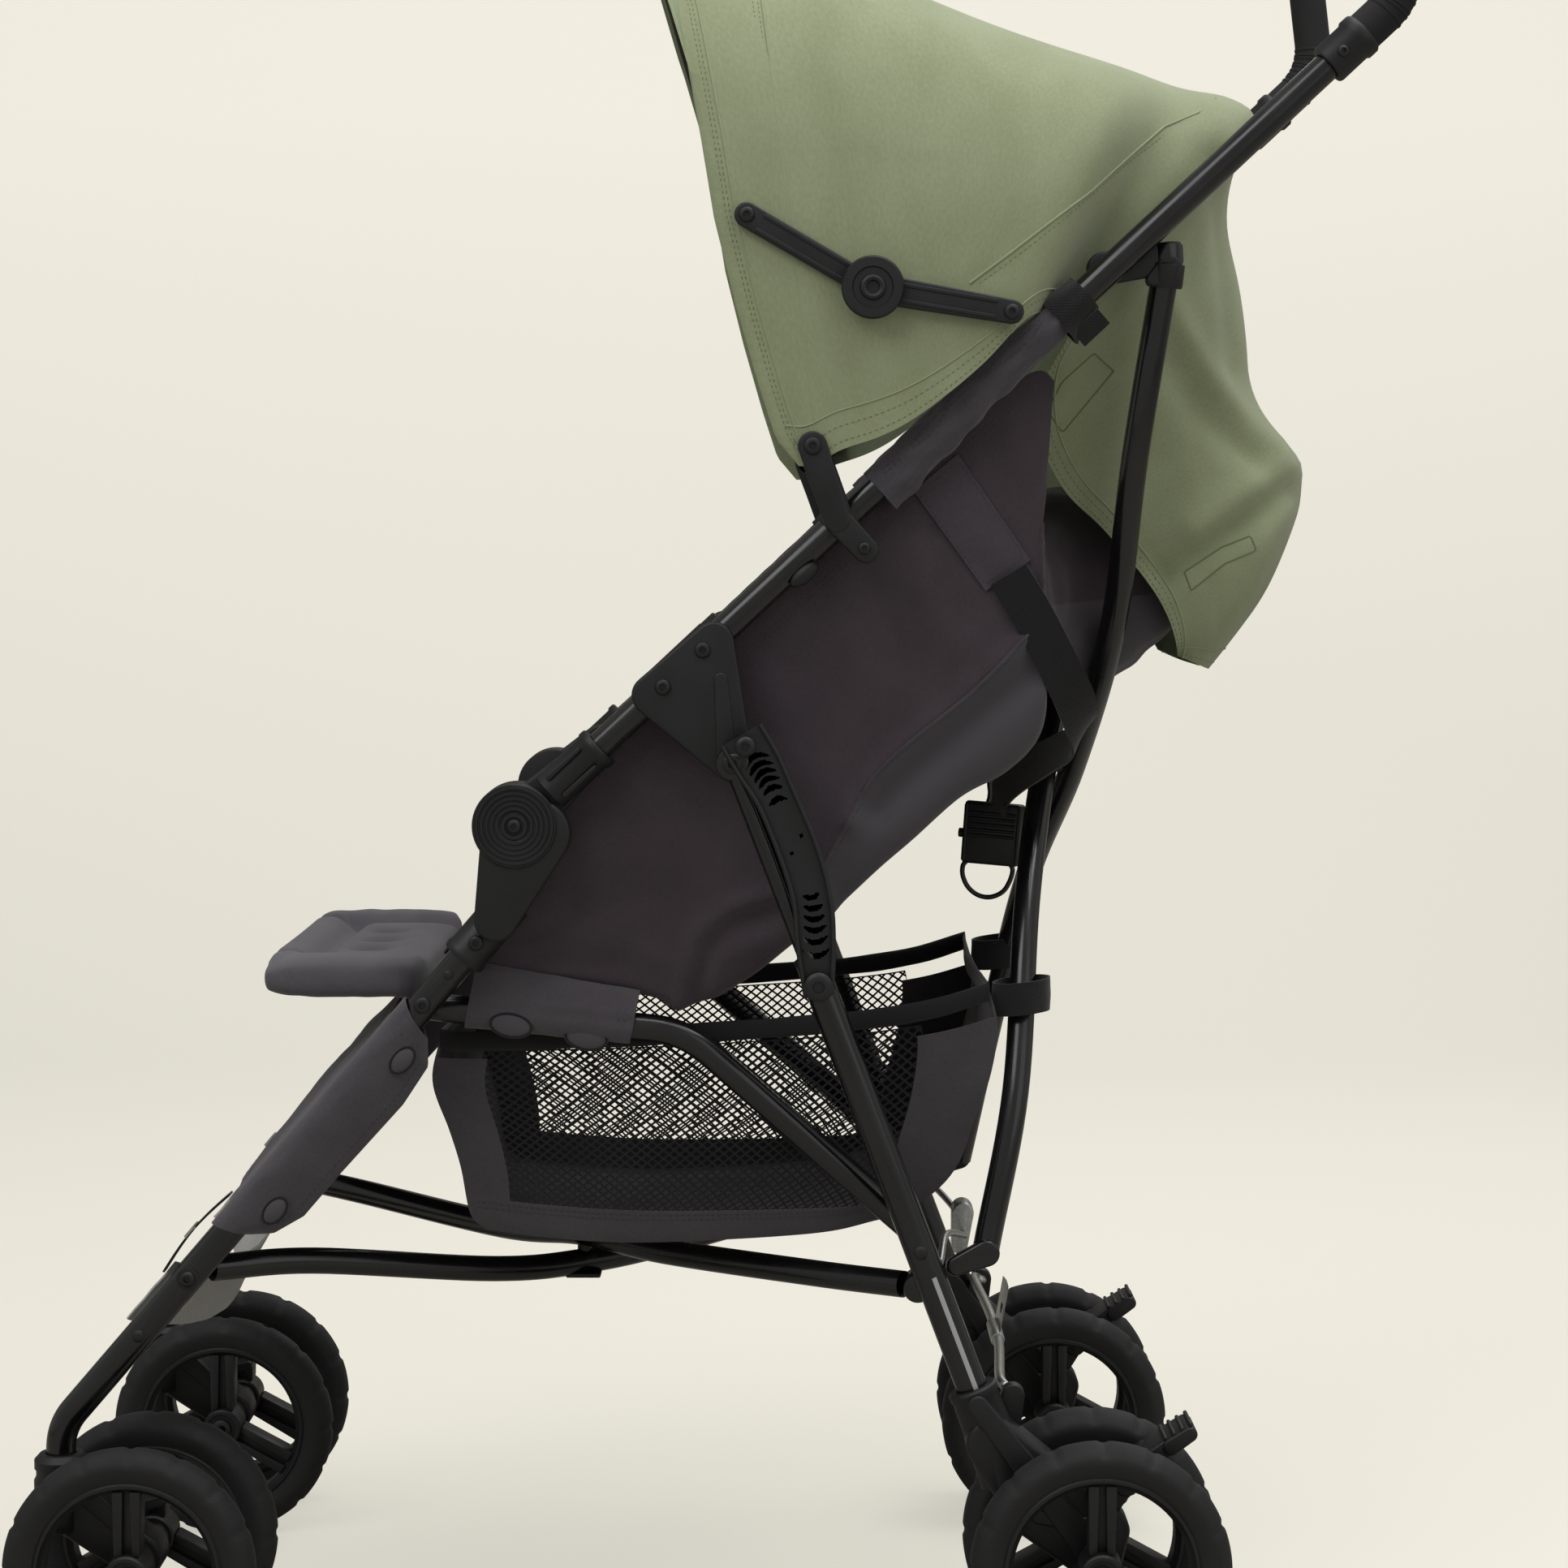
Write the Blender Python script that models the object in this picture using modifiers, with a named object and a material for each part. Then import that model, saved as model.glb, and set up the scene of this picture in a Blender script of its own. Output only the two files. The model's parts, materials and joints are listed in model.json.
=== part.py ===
"""Folding pushchair with twin wheels, a sling seat, a canopy and a basket, in metres, +Z up.

The side layout is drawn in the Y-Z plane from the middle of the wheelbase: -Y is the front, +Y the
rear. Every piece hangs from one empty that moves that layout so the origin is under the middle of
the object's box. X is the width, and the pushchair's left side is +X.
"""
import bpy
import bmesh
from math import asin, atan2, cos, hypot, pi, radians, sin, tan
from mathutils import Matrix, Vector

# Clearance between touching pieces
GAP = 0.0003

# Wheels
WHEELBASE = 0.5742
FRONT_TYRE_R = 0.075
REAR_TYRE_R = 0.0774
FRONT_TYRE_W = 0.024
REAR_TYRE_W = 0.026
TYRE_WALL = 0.019
TYRE_SHOULDER = 0.006
TYRE_STEP = 0.002
TREAD_SHARE = 0.55
RIM_BAND = 0.0065
RIM_INSET = 0.003
HUB_R = 0.013
SPOKE_W = 0.017
SPOKE_SHARE = 0.45
SPOKE_SINK = 0.004
FRONT_PAIR_SPREAD = 0.041
REAR_PAIR_SPREAD = 0.039
WHEEL_SIDES = 24
AXLE_R = 0.004
AXLE_PROUD = 0.003
BORE_CLEARANCE = 0.0005

# Frame tubes
FRAME_X = 0.165
PUSH_TUBE_R = 0.0085
LEG_TUBE_R = 0.009
REAR_LEG_X = 0.171
REAR_LEG_R = 0.0095
SEAT_TUBE_X = 0.1432
SEAT_TUBE_R = 0.0085
SEAT_PIN_R = 0.006
BRACE_TUBE_R = 0.0085

# Casters
CASTER_TRAIL = 0.0484
CASTER_HOUSING_R = 0.016
CASTER_HOUSING_Z = (0.090, 0.136)
CASTER_ARM_T = 0.026
CASTER_ARM_Z = 0.108
CASTER_ARM_R = 0.015
CASTER_BOSS_R = 0.014
STEM_BOTTOM_Z = 0.108
STEM_BEND_R = 0.035

# Fold joint, push tube and handle
FOLD_PIVOT = (-0.059, 0.516)
PUSH_ANGLE = radians(43.0)
PUSH_LENGTH = 0.715
HANDLE_TURN = radians(54.0)
HANDLE_RISE = 0.078
HANDLE_BEND_R = 0.040
GRIP_R = 0.0125
GRIP_STRAIGHT = 0.041
GRIP_BORE = 0.020
DISC_R = 0.025
DISC_T = 0.0155
DISC_SIDES = 24
UPPER_DISC_X = 0.1525
NECK_R = 0.016
NECK_INSET = 0.0006
EAR_R = 0.020
EAR_TAIL = (radians(-20), 0.014)
SOCKET_WALL = 0.0035
PUSH_SOCKET = (0.030, 0.064)
LEG_CORNER_Z = 0.1519
LEG_OFFSET = 0.0278
LEG_SOCKET = (0.040, 0.082)
SOCKET_DEPTH = 0.026
SOCKET_START = 0.027
CUT_OVERRUN = 0.010

# Rear leg linkage
LINK_TOP = (0.070, 0.5535)
LINK_BOTTOM = (0.1203, 0.4229)
LINK_X = 0.188
LINK_R = 0.006
EYE_R = 0.010
BRACKET_SCREWS = (0.118, 0.160)
BRACKET_R = 0.012
BRACKET_PIVOT_R = 0.013
REAR_LEG_ANGLE = radians(-69.35)
REAR_LEG_LENGTH = 0.318
REAR_LEG_TOP = 0.012
SEAT_FRONT_PIVOT = (0.1205, 0.0324)
SEAT_KNEE = (0.040, 0.3885)
SEAT_REAR_PIVOT = (0.1806, 0.2648)
SEAT_KNEE_R = 0.060

# Slotted carry handle on the left side
CARRY_T = 0.005
CARRY_FRONT = ((0.0640, 0.5640), (0.0860, 0.5280), (0.0990, 0.4960), (0.1060, 0.4720), (0.1150, 0.4160))
CARRY_REAR = ((0.1280, 0.4180), (0.1270, 0.4760), (0.1190, 0.5060), (0.1040, 0.5420), (0.0860, 0.5740))

# Cross braces
FLOOR_FRONT = 0.3349
FLOOR_FRONT_LEAD = (0.010, 0.001)
FLOOR_END_X = 0.148
FLOOR_REAR = (0.1806, 0.2348)
FLOOR_ROUTE = (
    (0.1100, -0.1900, 0.2410),
    (0.0400, -0.0850, 0.2260),
    (0.0000, -0.0300, 0.2260),
    (-0.0400, 0.0250, 0.2260),
    (-0.1100, 0.1200, 0.2330),
    (-0.1480, 0.1726, 0.2348),
)
FLOOR_EYE_X = 0.1420
BRACE_EYE_R = 0.009
BACK_TOP_PIVOT = (0.2888, 0.8442)
BACK_ARM_END = (0.3270, 0.8500)
BACK_ARM_X = 0.1470
BACK_FOOT_X = 0.1526
BACK_FOOT_R = 0.0055
BACK_FOOT = (0.2032, 0.2480)
BACK_ROUTE = (
    (0.1480, 0.3270, 0.8480),
    (0.1300, 0.3110, 0.7350),
    (0.0850, 0.2970, 0.6300),
    (0.0000, 0.2770, 0.5400),
    (-0.0750, 0.2570, 0.4600),
    (-0.1300, 0.2410, 0.3500),
    (-0.1500, 0.2220, 0.2560),
)
CROSS_SHIFT = 0.0092
CROSS_SHARES = (0.0, 0.0, 0.6, 1.0, 0.6, 0.0, 0.0)

# Canopy
CLIP_PIVOT = (0.1167, 0.7388)
CLIP_PLATE_X = 0.1738
CLIP_PLATE_T = 0.0052
CLIP_R = 0.009
CLIP_ON_TUBE = 0.272
CLIP_TUBE_R = 0.012
BOW_R = 0.003
BOW_ANGLE = radians(106)
BOW_START = 0.004
BOW_STRAIGHT = 0.034
BOW_TOP = (0.0200, 1.0560)
REAR_BOW_ANGLE = radians(36)
REAR_BOW_START = 0.020
REAR_BOW_ROUTE = (
    (0.1660, 0.2620, 0.8430),
    (0.1500, 0.3000, 0.8680),
    (0.1400, 0.3500, 0.9000),
    (0.1150, 0.3850, 0.9180),
    (0.0600, 0.3950, 0.9240),
    (0.0000, 0.3980, 0.9260),
)
STAY_ON_BOW = (0.0784, 0.8723)
STAY_KNEE = (0.1514, 0.8299)
STAY_ON_REAR = (0.2322, 0.8161)
STAY_W = 0.014
STAY_T = 0.004
STAY_PIN_R = 0.006
STAY_KNEE_SPREAD = 0.002
CANOPY_WALL = 0.002
ARCH_POWER = 0.62
CANOPY_HOOPS = (
    ((0.1400, 0.7600), (0.0950, 1.0420), 0.1760),
    ((0.1850, 0.7860), (0.1800, 1.0170), 0.1750),
    ((0.2180, 0.8150), (0.2600, 0.9860), 0.1680),
    ((0.2450, 0.8420), (0.3400, 0.9600), 0.1420),
    ((0.2580, 0.8100), (0.3880, 0.9000), 0.1220),
    ((0.2640, 0.7740), (0.3960, 0.8000), 0.1080),
    ((0.2840, 0.7050), (0.4230, 0.7180), 0.0880),
    ((0.3420, 0.6200), (0.3700, 0.6040), 0.0600),
)

# Seat, leg rest and basket
SEAT_WING_X = 0.1460
SEAT_WALL = 0.005
SEAT_SIDE_INSET = 0.001
SEAT_FRONT_Y = -0.114
WING_OUTLINE = (
    (-0.0930, 0.4300), (-0.0400, 0.4230), (0.0000, 0.4150), (0.0440, 0.4040), (0.0850, 0.4200),
    (0.1270, 0.4520), (0.2060, 0.5250), (0.2500, 0.5640), (0.2590, 0.5980), (0.2460, 0.6300),
    (0.2440, 0.7780), (0.1200, 0.6620), (-0.0100, 0.5440), (-0.0900, 0.4560),
)
BASE_OUTLINE = ((SEAT_FRONT_Y, 0.4125), (0.0360, 0.4060), (0.0300, 0.4240), (-0.1120, 0.4260))
RECLINE_PIVOT = (0.0450, 0.4120)
BACK_T = 0.014
BACK_LINE = (
    (0.0470, 0.4160), (0.1200, 0.4640), (0.2000, 0.5330),
    (0.2430, 0.5900), (0.2510, 0.6500), (0.2520, 0.7200),
)
PAD_HALF_W = 0.1480
PAD_T = 0.024
PAD_LENGTH = 0.108
PAD_HINGE = (SEAT_FRONT_Y - GAP, 0.4085)
CALF_T = 0.006
CALF_SPAN = (0.146, 0.290)
BASKET_WALL = 0.0025
BASKET_FLOOR = ((-0.0860, 0.2600), (0.1620, 0.2680))
BASKET_RIM = ((-0.1080, 0.3860), (0.2250, 0.4080))
BASKET_FLOOR_INSET = 0.008

# Rear axle housing, brake pedals and latch bar
HOUSING_T = 0.036
HOUSING_LEG_END = 0.296
HOUSING_CIRCLES = (((0.2950, 0.0930), 0.012), ((0.2480, 0.1010), 0.012))
HOUSING_BOSS_R = 0.016
HOUSING_WALL = 0.0065
COLLAR_LENGTH = 0.030
COLLAR_WALL = 0.0055
PEDAL_PIVOT = (0.304, 0.122)
PEDAL_W = 0.034
PEDAL_R = 0.0072
PEDAL_CIRCLES = (((0.3250, 0.1420), 0.005), ((0.3430, 0.1530), 0.005))
PEDAL_EAR_T = 0.014
PEDAL_EAR_R = 0.0075
PEDAL_EAR_FOOT = ((0.2860, 0.0980), 0.010)
PEDAL_ROOM = (0.0185, 0.030)
PEDAL_TILT = radians(35)
LATCH_PIVOT = (0.2380, 0.1700)
LATCH_EAR_X = 0.012
LATCH_EAR_SIZE = (0.010, 0.024, 0.034)
LATCH_EAR_DROP = (0.004, 0.012)
LATCH_BAR_R = 0.004
LATCH_PLATE_SIZE = (0.044, 0.010, 0.034)
LATCH_PLATE_RISE = 0.010

# Worked out from the sizes above
FRONT_AXLE = (-WHEELBASE / 2, FRONT_TYRE_R)
REAR_AXLE = (WHEELBASE / 2, REAR_TYRE_R)
STEM_Y = FRONT_AXLE[0] - CASTER_TRAIL
LEG_RUN = (STEM_Y - FOLD_PIVOT[0], LEG_CORNER_Z - FOLD_PIVOT[1])
LEG_ANGLE = atan2(LEG_RUN[1], LEG_RUN[0]) - asin(LEG_OFFSET / hypot(*LEG_RUN))
GRIP_START = PUSH_LENGTH - GRIP_STRAIGHT
BOW_X = CLIP_PLATE_X + CLIP_PLATE_T + GAP + BOW_R
BACK_HALF_W = SEAT_WING_X - SEAT_WALL - GAP
CALF_HALF_W = FRAME_X - LEG_TUBE_R - GAP
BASKET_HALF_W = SEAT_TUBE_X - SEAT_TUBE_R - BASKET_WALL / 2 - GAP
LEG_FACE_X = FRAME_X - LEG_TUBE_R - GAP
REAR_LEG_FACE_X = REAR_LEG_X - REAR_LEG_R - GAP
SIDES = (("left", 1), ("right", -1))


def along(start, angle, distance, offset=0.0):
    """Point at a distance along a line in the side view, and an offset to the left of it."""
    y, z = start
    return (y + distance * cos(angle) - offset * sin(angle), z + distance * sin(angle) + offset * cos(angle))


def leg_point(distance, offset=LEG_OFFSET):
    """Point along the front leg, measured from beside the fold pivot; on its centre line by default."""
    return along(FOLD_PIVOT, LEG_ANGLE, distance, offset)


def push_point(distance, offset=0.0):
    return along(FOLD_PIVOT, PUSH_ANGLE, distance, offset)


def rear_leg_point(distance, offset=0.0):
    return along(LINK_BOTTOM, REAR_LEG_ANGLE, distance, offset)


def at_x(x, point):
    return Vector((x, point[0], point[1]))


def rounded(points, radius, steps=5):
    """A polyline whose inner corners become arcs of the given radius."""
    route = [Vector(points[0])]
    for before, corner, after in zip(points, points[1:], points[2:]):
        corner = Vector(corner)
        back = (Vector(before) - corner).normalized()
        ahead = (Vector(after) - corner).normalized()
        half = back.angle(ahead) / 2
        reach = radius / tan(half)
        middle = corner + (back + ahead).normalized() * (radius / sin(half))
        first, last = corner + back * reach - middle, corner + ahead * reach - middle
        turn = first.angle(last)
        for step in range(steps + 1):
            share = step / steps
            arm = first * (sin((1 - share) * turn) / sin(turn)) + last * (sin(share * turn) / sin(turn))
            route.append(middle + arm)
    route.append(Vector(points[-1]))
    return route


def smooth(points, steps=3):
    """Points on a smooth curve through the given ones."""
    points = [Vector(p) for p in points]
    ends = [points[0] * 2 - points[1], *points, points[-1] * 2 - points[-2]]
    route = []
    for a, b, c, d in zip(ends, ends[1:], ends[2:], ends[3:]):
        for step in range(steps):
            t = step / steps
            bend = (2 * a - 5 * b + 4 * c - d) * t**2 + (3 * b - a - 3 * c + d) * t**3
            route.append(b + ((c - a) * t + bend) / 2)
    route.append(points[-1])
    return route


for old in list(bpy.data.objects):
    bpy.data.objects.remove(old, do_unlink=True)

parts = bpy.data.collections.new("pushchair")
bpy.context.scene.collection.children.link(parts)


def surface(name, colour, roughness, metallic=0.0):
    material = bpy.data.materials.new(name)
    material.use_nodes = True
    shader = material.node_tree.nodes["Principled BSDF"]
    shader.inputs["Base Color"].default_value = (*colour, 1.0)
    shader.inputs["Roughness"].default_value = roughness
    shader.inputs["Metallic"].default_value = metallic
    material.diffuse_color = (*colour, 1.0)
    return material


# Colours as linear values
BLACK_PAINT = surface("black_paint", (0.012, 0.012, 0.013), 0.25)
BLACK_PLASTIC = surface("black_plastic", (0.016, 0.016, 0.017), 0.55)
GRIP_FOAM = surface("grip_foam", (0.02, 0.02, 0.02), 0.85)
TYRE_FOAM = surface("tyre_foam", (0.022, 0.022, 0.023), 0.8)
STEEL = surface("zinc_plated_steel", (0.62, 0.62, 0.6), 0.35, 1.0)
CANOPY_CLOTH = surface("canopy_cloth", (0.29, 0.35, 0.22), 0.9)
SEAT_CLOTH = surface("seat_cloth", (0.06, 0.055, 0.06), 0.9)
PAD_CLOTH = surface("pad_cloth", (0.09, 0.083, 0.088), 0.9)
BASKET_CLOTH = surface("basket_cloth", (0.03, 0.03, 0.031), 0.9)

bodies = {}


def body(name, pivot, parent=None):
    """An empty on the axis of the joint that a group of pieces turns about."""
    empty = bpy.data.objects.new("pivot_" + name, None)
    empty.empty_display_size = 0.02
    parts.objects.link(empty)
    place = Vector(pivot)
    if parent:
        empty.parent = bodies[parent]
        place = place - Vector(bodies[parent]["layout"])
    empty.location = place
    empty["layout"] = tuple(pivot)
    bodies[name] = empty
    return empty


def put(obj, name, body_name, material):
    """Name a piece, hang it from its joint's empty and give it its material."""
    obj.name = name
    obj.data.name = name
    obj.data.materials.clear()
    obj.data.materials.append(material)
    if parts not in obj.users_collection:
        parts.objects.link(obj)
    obj.parent = bodies[body_name]
    obj.location = -Vector(bodies[body_name]["layout"])
    return obj


def mesh_object(bm):
    mesh = bpy.data.meshes.new("piece")
    bmesh.ops.recalc_face_normals(bm, faces=bm.faces)
    bm.to_mesh(mesh)
    bm.free()
    return bpy.data.objects.new("piece", mesh)


def tube(route, radius, sides=2):
    """A round tube as a curve object with filled caps."""
    curve = bpy.data.curves.new("tube", "CURVE")
    curve.dimensions = "3D"
    curve.bevel_depth = radius
    curve.bevel_resolution = sides
    curve.use_fill_caps = True
    spline = curve.splines.new("POLY")
    spline.points.add(len(route) - 1)
    for point, place in zip(spline.points, route):
        point.co = (*place, 1.0)
    return bpy.data.objects.new("tube", curve)


def plate(outline, x_low, x_high):
    """A flat outline in the side view, with its thickness along X."""
    curve = bpy.data.curves.new("plate", "CURVE")
    curve.dimensions = "2D"
    curve.fill_mode = "BOTH"
    curve.extrude = (x_high - x_low) / 2
    spline = curve.splines.new("POLY")
    spline.points.add(len(outline) - 1)
    for point, (y, z) in zip(spline.points, outline):
        point.co = (y, z, 0.0, 1.0)
    spline.use_cyclic_u = True
    obj = bpy.data.objects.new("plate", curve)
    turn = Matrix(((0, 0, 1), (1, 0, 0), (0, 1, 0))).to_4x4()
    obj.matrix_world = Matrix.Translation(((x_low + x_high) / 2, 0, 0)) @ turn
    return solid(obj)


def rod(start, end, radius, sides=12):
    """A cylinder between two points."""
    start, end = Vector(start), Vector(end)
    bm = bmesh.new()
    bmesh.ops.create_cone(
        bm, cap_ends=True, segments=sides, radius1=radius, radius2=radius, depth=(end - start).length
    )
    turn = (end - start).to_track_quat("Z", "Y").to_matrix().to_4x4()
    bmesh.ops.transform(bm, matrix=Matrix.Translation((start + end) / 2) @ turn, verts=bm.verts)
    return mesh_object(bm)


def block(centre, size, tilt=0.0):
    """A box, turned about X by the tilt."""
    bm = bmesh.new()
    bmesh.ops.create_cube(bm, size=1.0)
    place = Matrix.Translation(centre) @ Matrix.Rotation(tilt, 4, "X") @ Matrix.Diagonal((*size, 1.0))
    bmesh.ops.transform(bm, matrix=place, verts=bm.verts)
    return mesh_object(bm)


def hull(circles, sides=12):
    """The outline round some circles, each given by its centre and radius."""
    bm = bmesh.new()
    for (y, z), radius in circles:
        for step in range(sides):
            angle = 2 * pi * step / sides
            bm.verts.new((y + radius * cos(angle), z + radius * sin(angle), 0.0))
    found = bmesh.ops.convex_hull(bm, input=bm.verts)["geom"]
    points = [(v.co.x, v.co.y) for v in found if isinstance(v, bmesh.types.BMVert)]
    bm.free()
    return outline_of(points)


def outline_of(points):
    """The convex outline of some points, anticlockwise."""
    points = sorted(set(points))

    def half(row):
        chain = []
        for p in row:
            while len(chain) > 1 and cross(chain[-2], chain[-1], p) <= 1e-12:
                chain.pop()
            chain.append(p)
        return chain[:-1]

    return half(points) + half(reversed(points))


def cross(a, b, c):
    return (b[0] - a[0]) * (c[1] - a[1]) - (b[1] - a[1]) * (c[0] - a[0])


def solid(obj):
    """The evaluated shape of an object as a plain mesh object in the layout's place."""
    if not obj.users_collection:
        bpy.context.scene.collection.objects.link(obj)
    bpy.context.view_layer.update()
    seen = obj.evaluated_get(bpy.context.evaluated_depsgraph_get())
    mesh = bpy.data.meshes.new_from_object(seen)
    bm = bmesh.new()
    bm.from_mesh(mesh)
    bmesh.ops.transform(bm, matrix=obj.matrix_world, verts=bm.verts)
    bmesh.ops.remove_doubles(bm, verts=bm.verts, dist=0.00001)
    bmesh.ops.recalc_face_normals(bm, faces=bm.faces)
    bm.to_mesh(mesh)
    bm.free()
    bpy.data.objects.remove(obj, do_unlink=True)
    return bpy.data.objects.new("solid", mesh)


def arch(foot, top, half_width, steps=12):
    """A hoop from one foot over the top to the other, in the plane through both."""
    foot, top = at_x(0, foot), at_x(0, top)
    points = []
    for step in range(steps + 1):
        angle = pi * step / steps
        side = 1 if step < steps / 2 else -1
        across = half_width * side * abs(cos(angle)) ** ARCH_POWER
        points.append(foot + (top - foot) * abs(sin(angle)) ** ARCH_POWER + Vector((across, 0, 0)))
    return points


def fuse(pieces, cuts=()):
    """One solid from overlapping pieces, less the cutters."""
    base = solid(pieces[0])
    tools = [(solid(p), "UNION") for p in pieces[1:]] + [(solid(c), "DIFFERENCE") for c in cuts]
    bpy.context.scene.collection.objects.link(base)
    for tool, operation in tools:
        bpy.context.scene.collection.objects.link(tool)
        step = base.modifiers.new("boolean", "BOOLEAN")
        step.operation = operation
        step.object = tool
    bpy.context.view_layer.update()
    seen = base.evaluated_get(bpy.context.evaluated_depsgraph_get())
    mesh = bpy.data.meshes.new_from_object(seen)
    for tool, _ in tools:
        bpy.data.objects.remove(tool, do_unlink=True)
    bpy.data.objects.remove(base, do_unlink=True)
    mesh.shade_smooth()
    mesh.set_sharp_from_angle(angle=radians(35))
    return bpy.data.objects.new("fused", mesh)


def ring(profile):
    """A turned ring about the X axis, from (radius, x) profile points, with a flat facet at the bottom."""
    bm = bmesh.new()
    rim = [bm.verts.new((px, 0.0, -radius)) for radius, px in profile]
    edges = [bm.edges.new(pair) for pair in zip(rim, rim[1:] + rim[:1])]
    turn = Matrix.Rotation(pi / WHEEL_SIDES, 3, "X")
    bmesh.ops.rotate(bm, cent=(0, 0, 0), matrix=turn, verts=bm.verts)
    bmesh.ops.spin(
        bm, geom=rim + edges, cent=(0, 0, 0), axis=(1, 0, 0), angle=2 * pi, steps=WHEEL_SIDES, use_merge=True
    )
    bmesh.ops.remove_doubles(bm, verts=bm.verts, dist=0.00001)
    return mesh_object(bm)


# Where the joints are
handle_corner = push_point(PUSH_LENGTH)
handle_end = along(handle_corner, PUSH_ANGLE + HANDLE_TURN, HANDLE_RISE)
handle_corners = [push_point(GRIP_START), handle_corner, handle_end]
handle_route = rounded([at_x(0, corner) for corner in handle_corners], HANDLE_BEND_R, 6)
rearmost = max(point.y for point in handle_route) + GRIP_R
foremost = FRONT_AXLE[0] - FRONT_TYRE_R
ORIGIN_Y = (foremost + rearmost) / 2

origin = body("push_frame", (0.0, 0.0, 0.0))
origin.location = (0.0, -ORIGIN_Y, 0.0)
body("front_legs", at_x(0, FOLD_PIVOT), "push_frame")
body("legrest", at_x(0, PAD_HINGE), "front_legs")
body("link_rods", at_x(0, LINK_TOP), "push_frame")
body("rear_legs", at_x(0, LINK_BOTTOM), "link_rods")
body("seat_tubes", at_x(0, SEAT_REAR_PIVOT), "rear_legs")
body("floor_brace", at_x(0, FLOOR_REAR), "rear_legs")
body("latch_bar", at_x(0, LATCH_PIVOT), "rear_legs")
body("rear_brace", at_x(0, BACK_TOP_PIVOT), "push_frame")
body("seat_back", at_x(0, RECLINE_PIVOT), "push_frame")
body("canopy_bow", at_x(0, CLIP_PIVOT), "push_frame")
body("front_stays", at_x(0, STAY_ON_BOW), "canopy_bow")
body("rear_stays", at_x(0, STAY_ON_REAR), "push_frame")
for side, sign in SIDES:
    body("caster_" + side, (sign * FRAME_X, STEM_Y, FRONT_AXLE[1]), "front_legs")
    body("brake_pedal_" + side, (sign * REAR_LEG_X, *PEDAL_PIVOT), "rear_legs")

# Push tubes with their grips
for side, sign in SIDES:
    x = sign * FRAME_X
    ends = [at_x(x, push_point(PUSH_SOCKET[0])), at_x(x, push_point(GRIP_START + GRIP_BORE - GAP))]
    put(tube(ends, PUSH_TUBE_R), "push_tube_" + side, "push_frame", BLACK_PAINT)
    bore = rod(
        at_x(x, push_point(GRIP_START - GRIP_BORE)),
        at_x(x, push_point(GRIP_START + GRIP_BORE)),
        PUSH_TUBE_R + BORE_CLEARANCE,
    )
    grip = tube([point + Vector((x, 0, 0)) for point in handle_route], GRIP_R)
    put(fuse([grip], [bore]), "grip_" + side, "push_frame", GRIP_FOAM)

# Fold joints: an upper half on the push tube and a lower half on the front leg
for side, sign in SIDES:
    x = sign * FRAME_X
    inner, outer = sorted((sign * UPPER_DISC_X, sign * (UPPER_DISC_X + DISC_T)))
    socket_r = PUSH_TUBE_R + SOCKET_WALL
    neck_outline = hull([(FOLD_PIVOT, NECK_R), (push_point(PUSH_SOCKET[0] + socket_r), socket_r)], 10)
    upper = fuse(
        [
            rod(at_x(inner, FOLD_PIVOT), at_x(outer, FOLD_PIVOT), DISC_R, DISC_SIDES),
            plate(neck_outline, inner + NECK_INSET, outer - NECK_INSET),
            rod(at_x(x, push_point(SOCKET_START)), at_x(x, push_point(PUSH_SOCKET[1])), socket_r),
        ],
        [
            rod(
                at_x(x, push_point(PUSH_SOCKET[0] - GAP)),
                at_x(x, push_point(PUSH_SOCKET[1] + CUT_OVERRUN)),
                PUSH_TUBE_R + BORE_CLEARANCE,
            )
        ],
    )
    put(upper, "fold_joint_upper_" + side, "push_frame", BLACK_PLASTIC)

    face = UPPER_DISC_X + DISC_T + GAP
    inner, outer = sorted((sign * face, sign * (face + DISC_T)))
    socket_r = LEG_TUBE_R + SOCKET_WALL
    ear_circles = [
        (FOLD_PIVOT, EAR_R),
        (leg_point(LEG_SOCKET[0] + CUT_OVERRUN), socket_r),
        (along(FOLD_PIVOT, *EAR_TAIL), EAR_R),
    ]
    lower = fuse(
        [
            rod(at_x(inner, FOLD_PIVOT), at_x(outer, FOLD_PIVOT), DISC_R, DISC_SIDES),
            plate(hull(ear_circles, 10), inner + NECK_INSET, outer - NECK_INSET),
            rod(at_x(x, leg_point(LEG_SOCKET[0])), at_x(x, leg_point(LEG_SOCKET[1])), socket_r),
        ],
        [
            rod(
                at_x(x, leg_point(LEG_SOCKET[1] - SOCKET_DEPTH - GAP)),
                at_x(x, leg_point(LEG_SOCKET[1] + CUT_OVERRUN)),
                LEG_TUBE_R + BORE_CLEARANCE,
            )
        ],
    )
    put(lower, "fold_joint_lower_" + side, "front_legs", BLACK_PLASTIC)

# Front legs, bent down to the caster stems
leg_start = leg_point(LEG_SOCKET[1] - SOCKET_DEPTH)
stem_reach = (STEM_Y - leg_start[0]) / cos(LEG_ANGLE)
leg_corner = along(leg_start, LEG_ANGLE, stem_reach)
for side, sign in SIDES:
    x = sign * FRAME_X
    corners = [at_x(x, leg_start), at_x(x, leg_corner), (x, STEM_Y, STEM_BOTTOM_Z)]
    put(tube(rounded(corners, STEM_BEND_R), LEG_TUBE_R), "front_leg_" + side, "front_legs", BLACK_PAINT)

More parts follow.
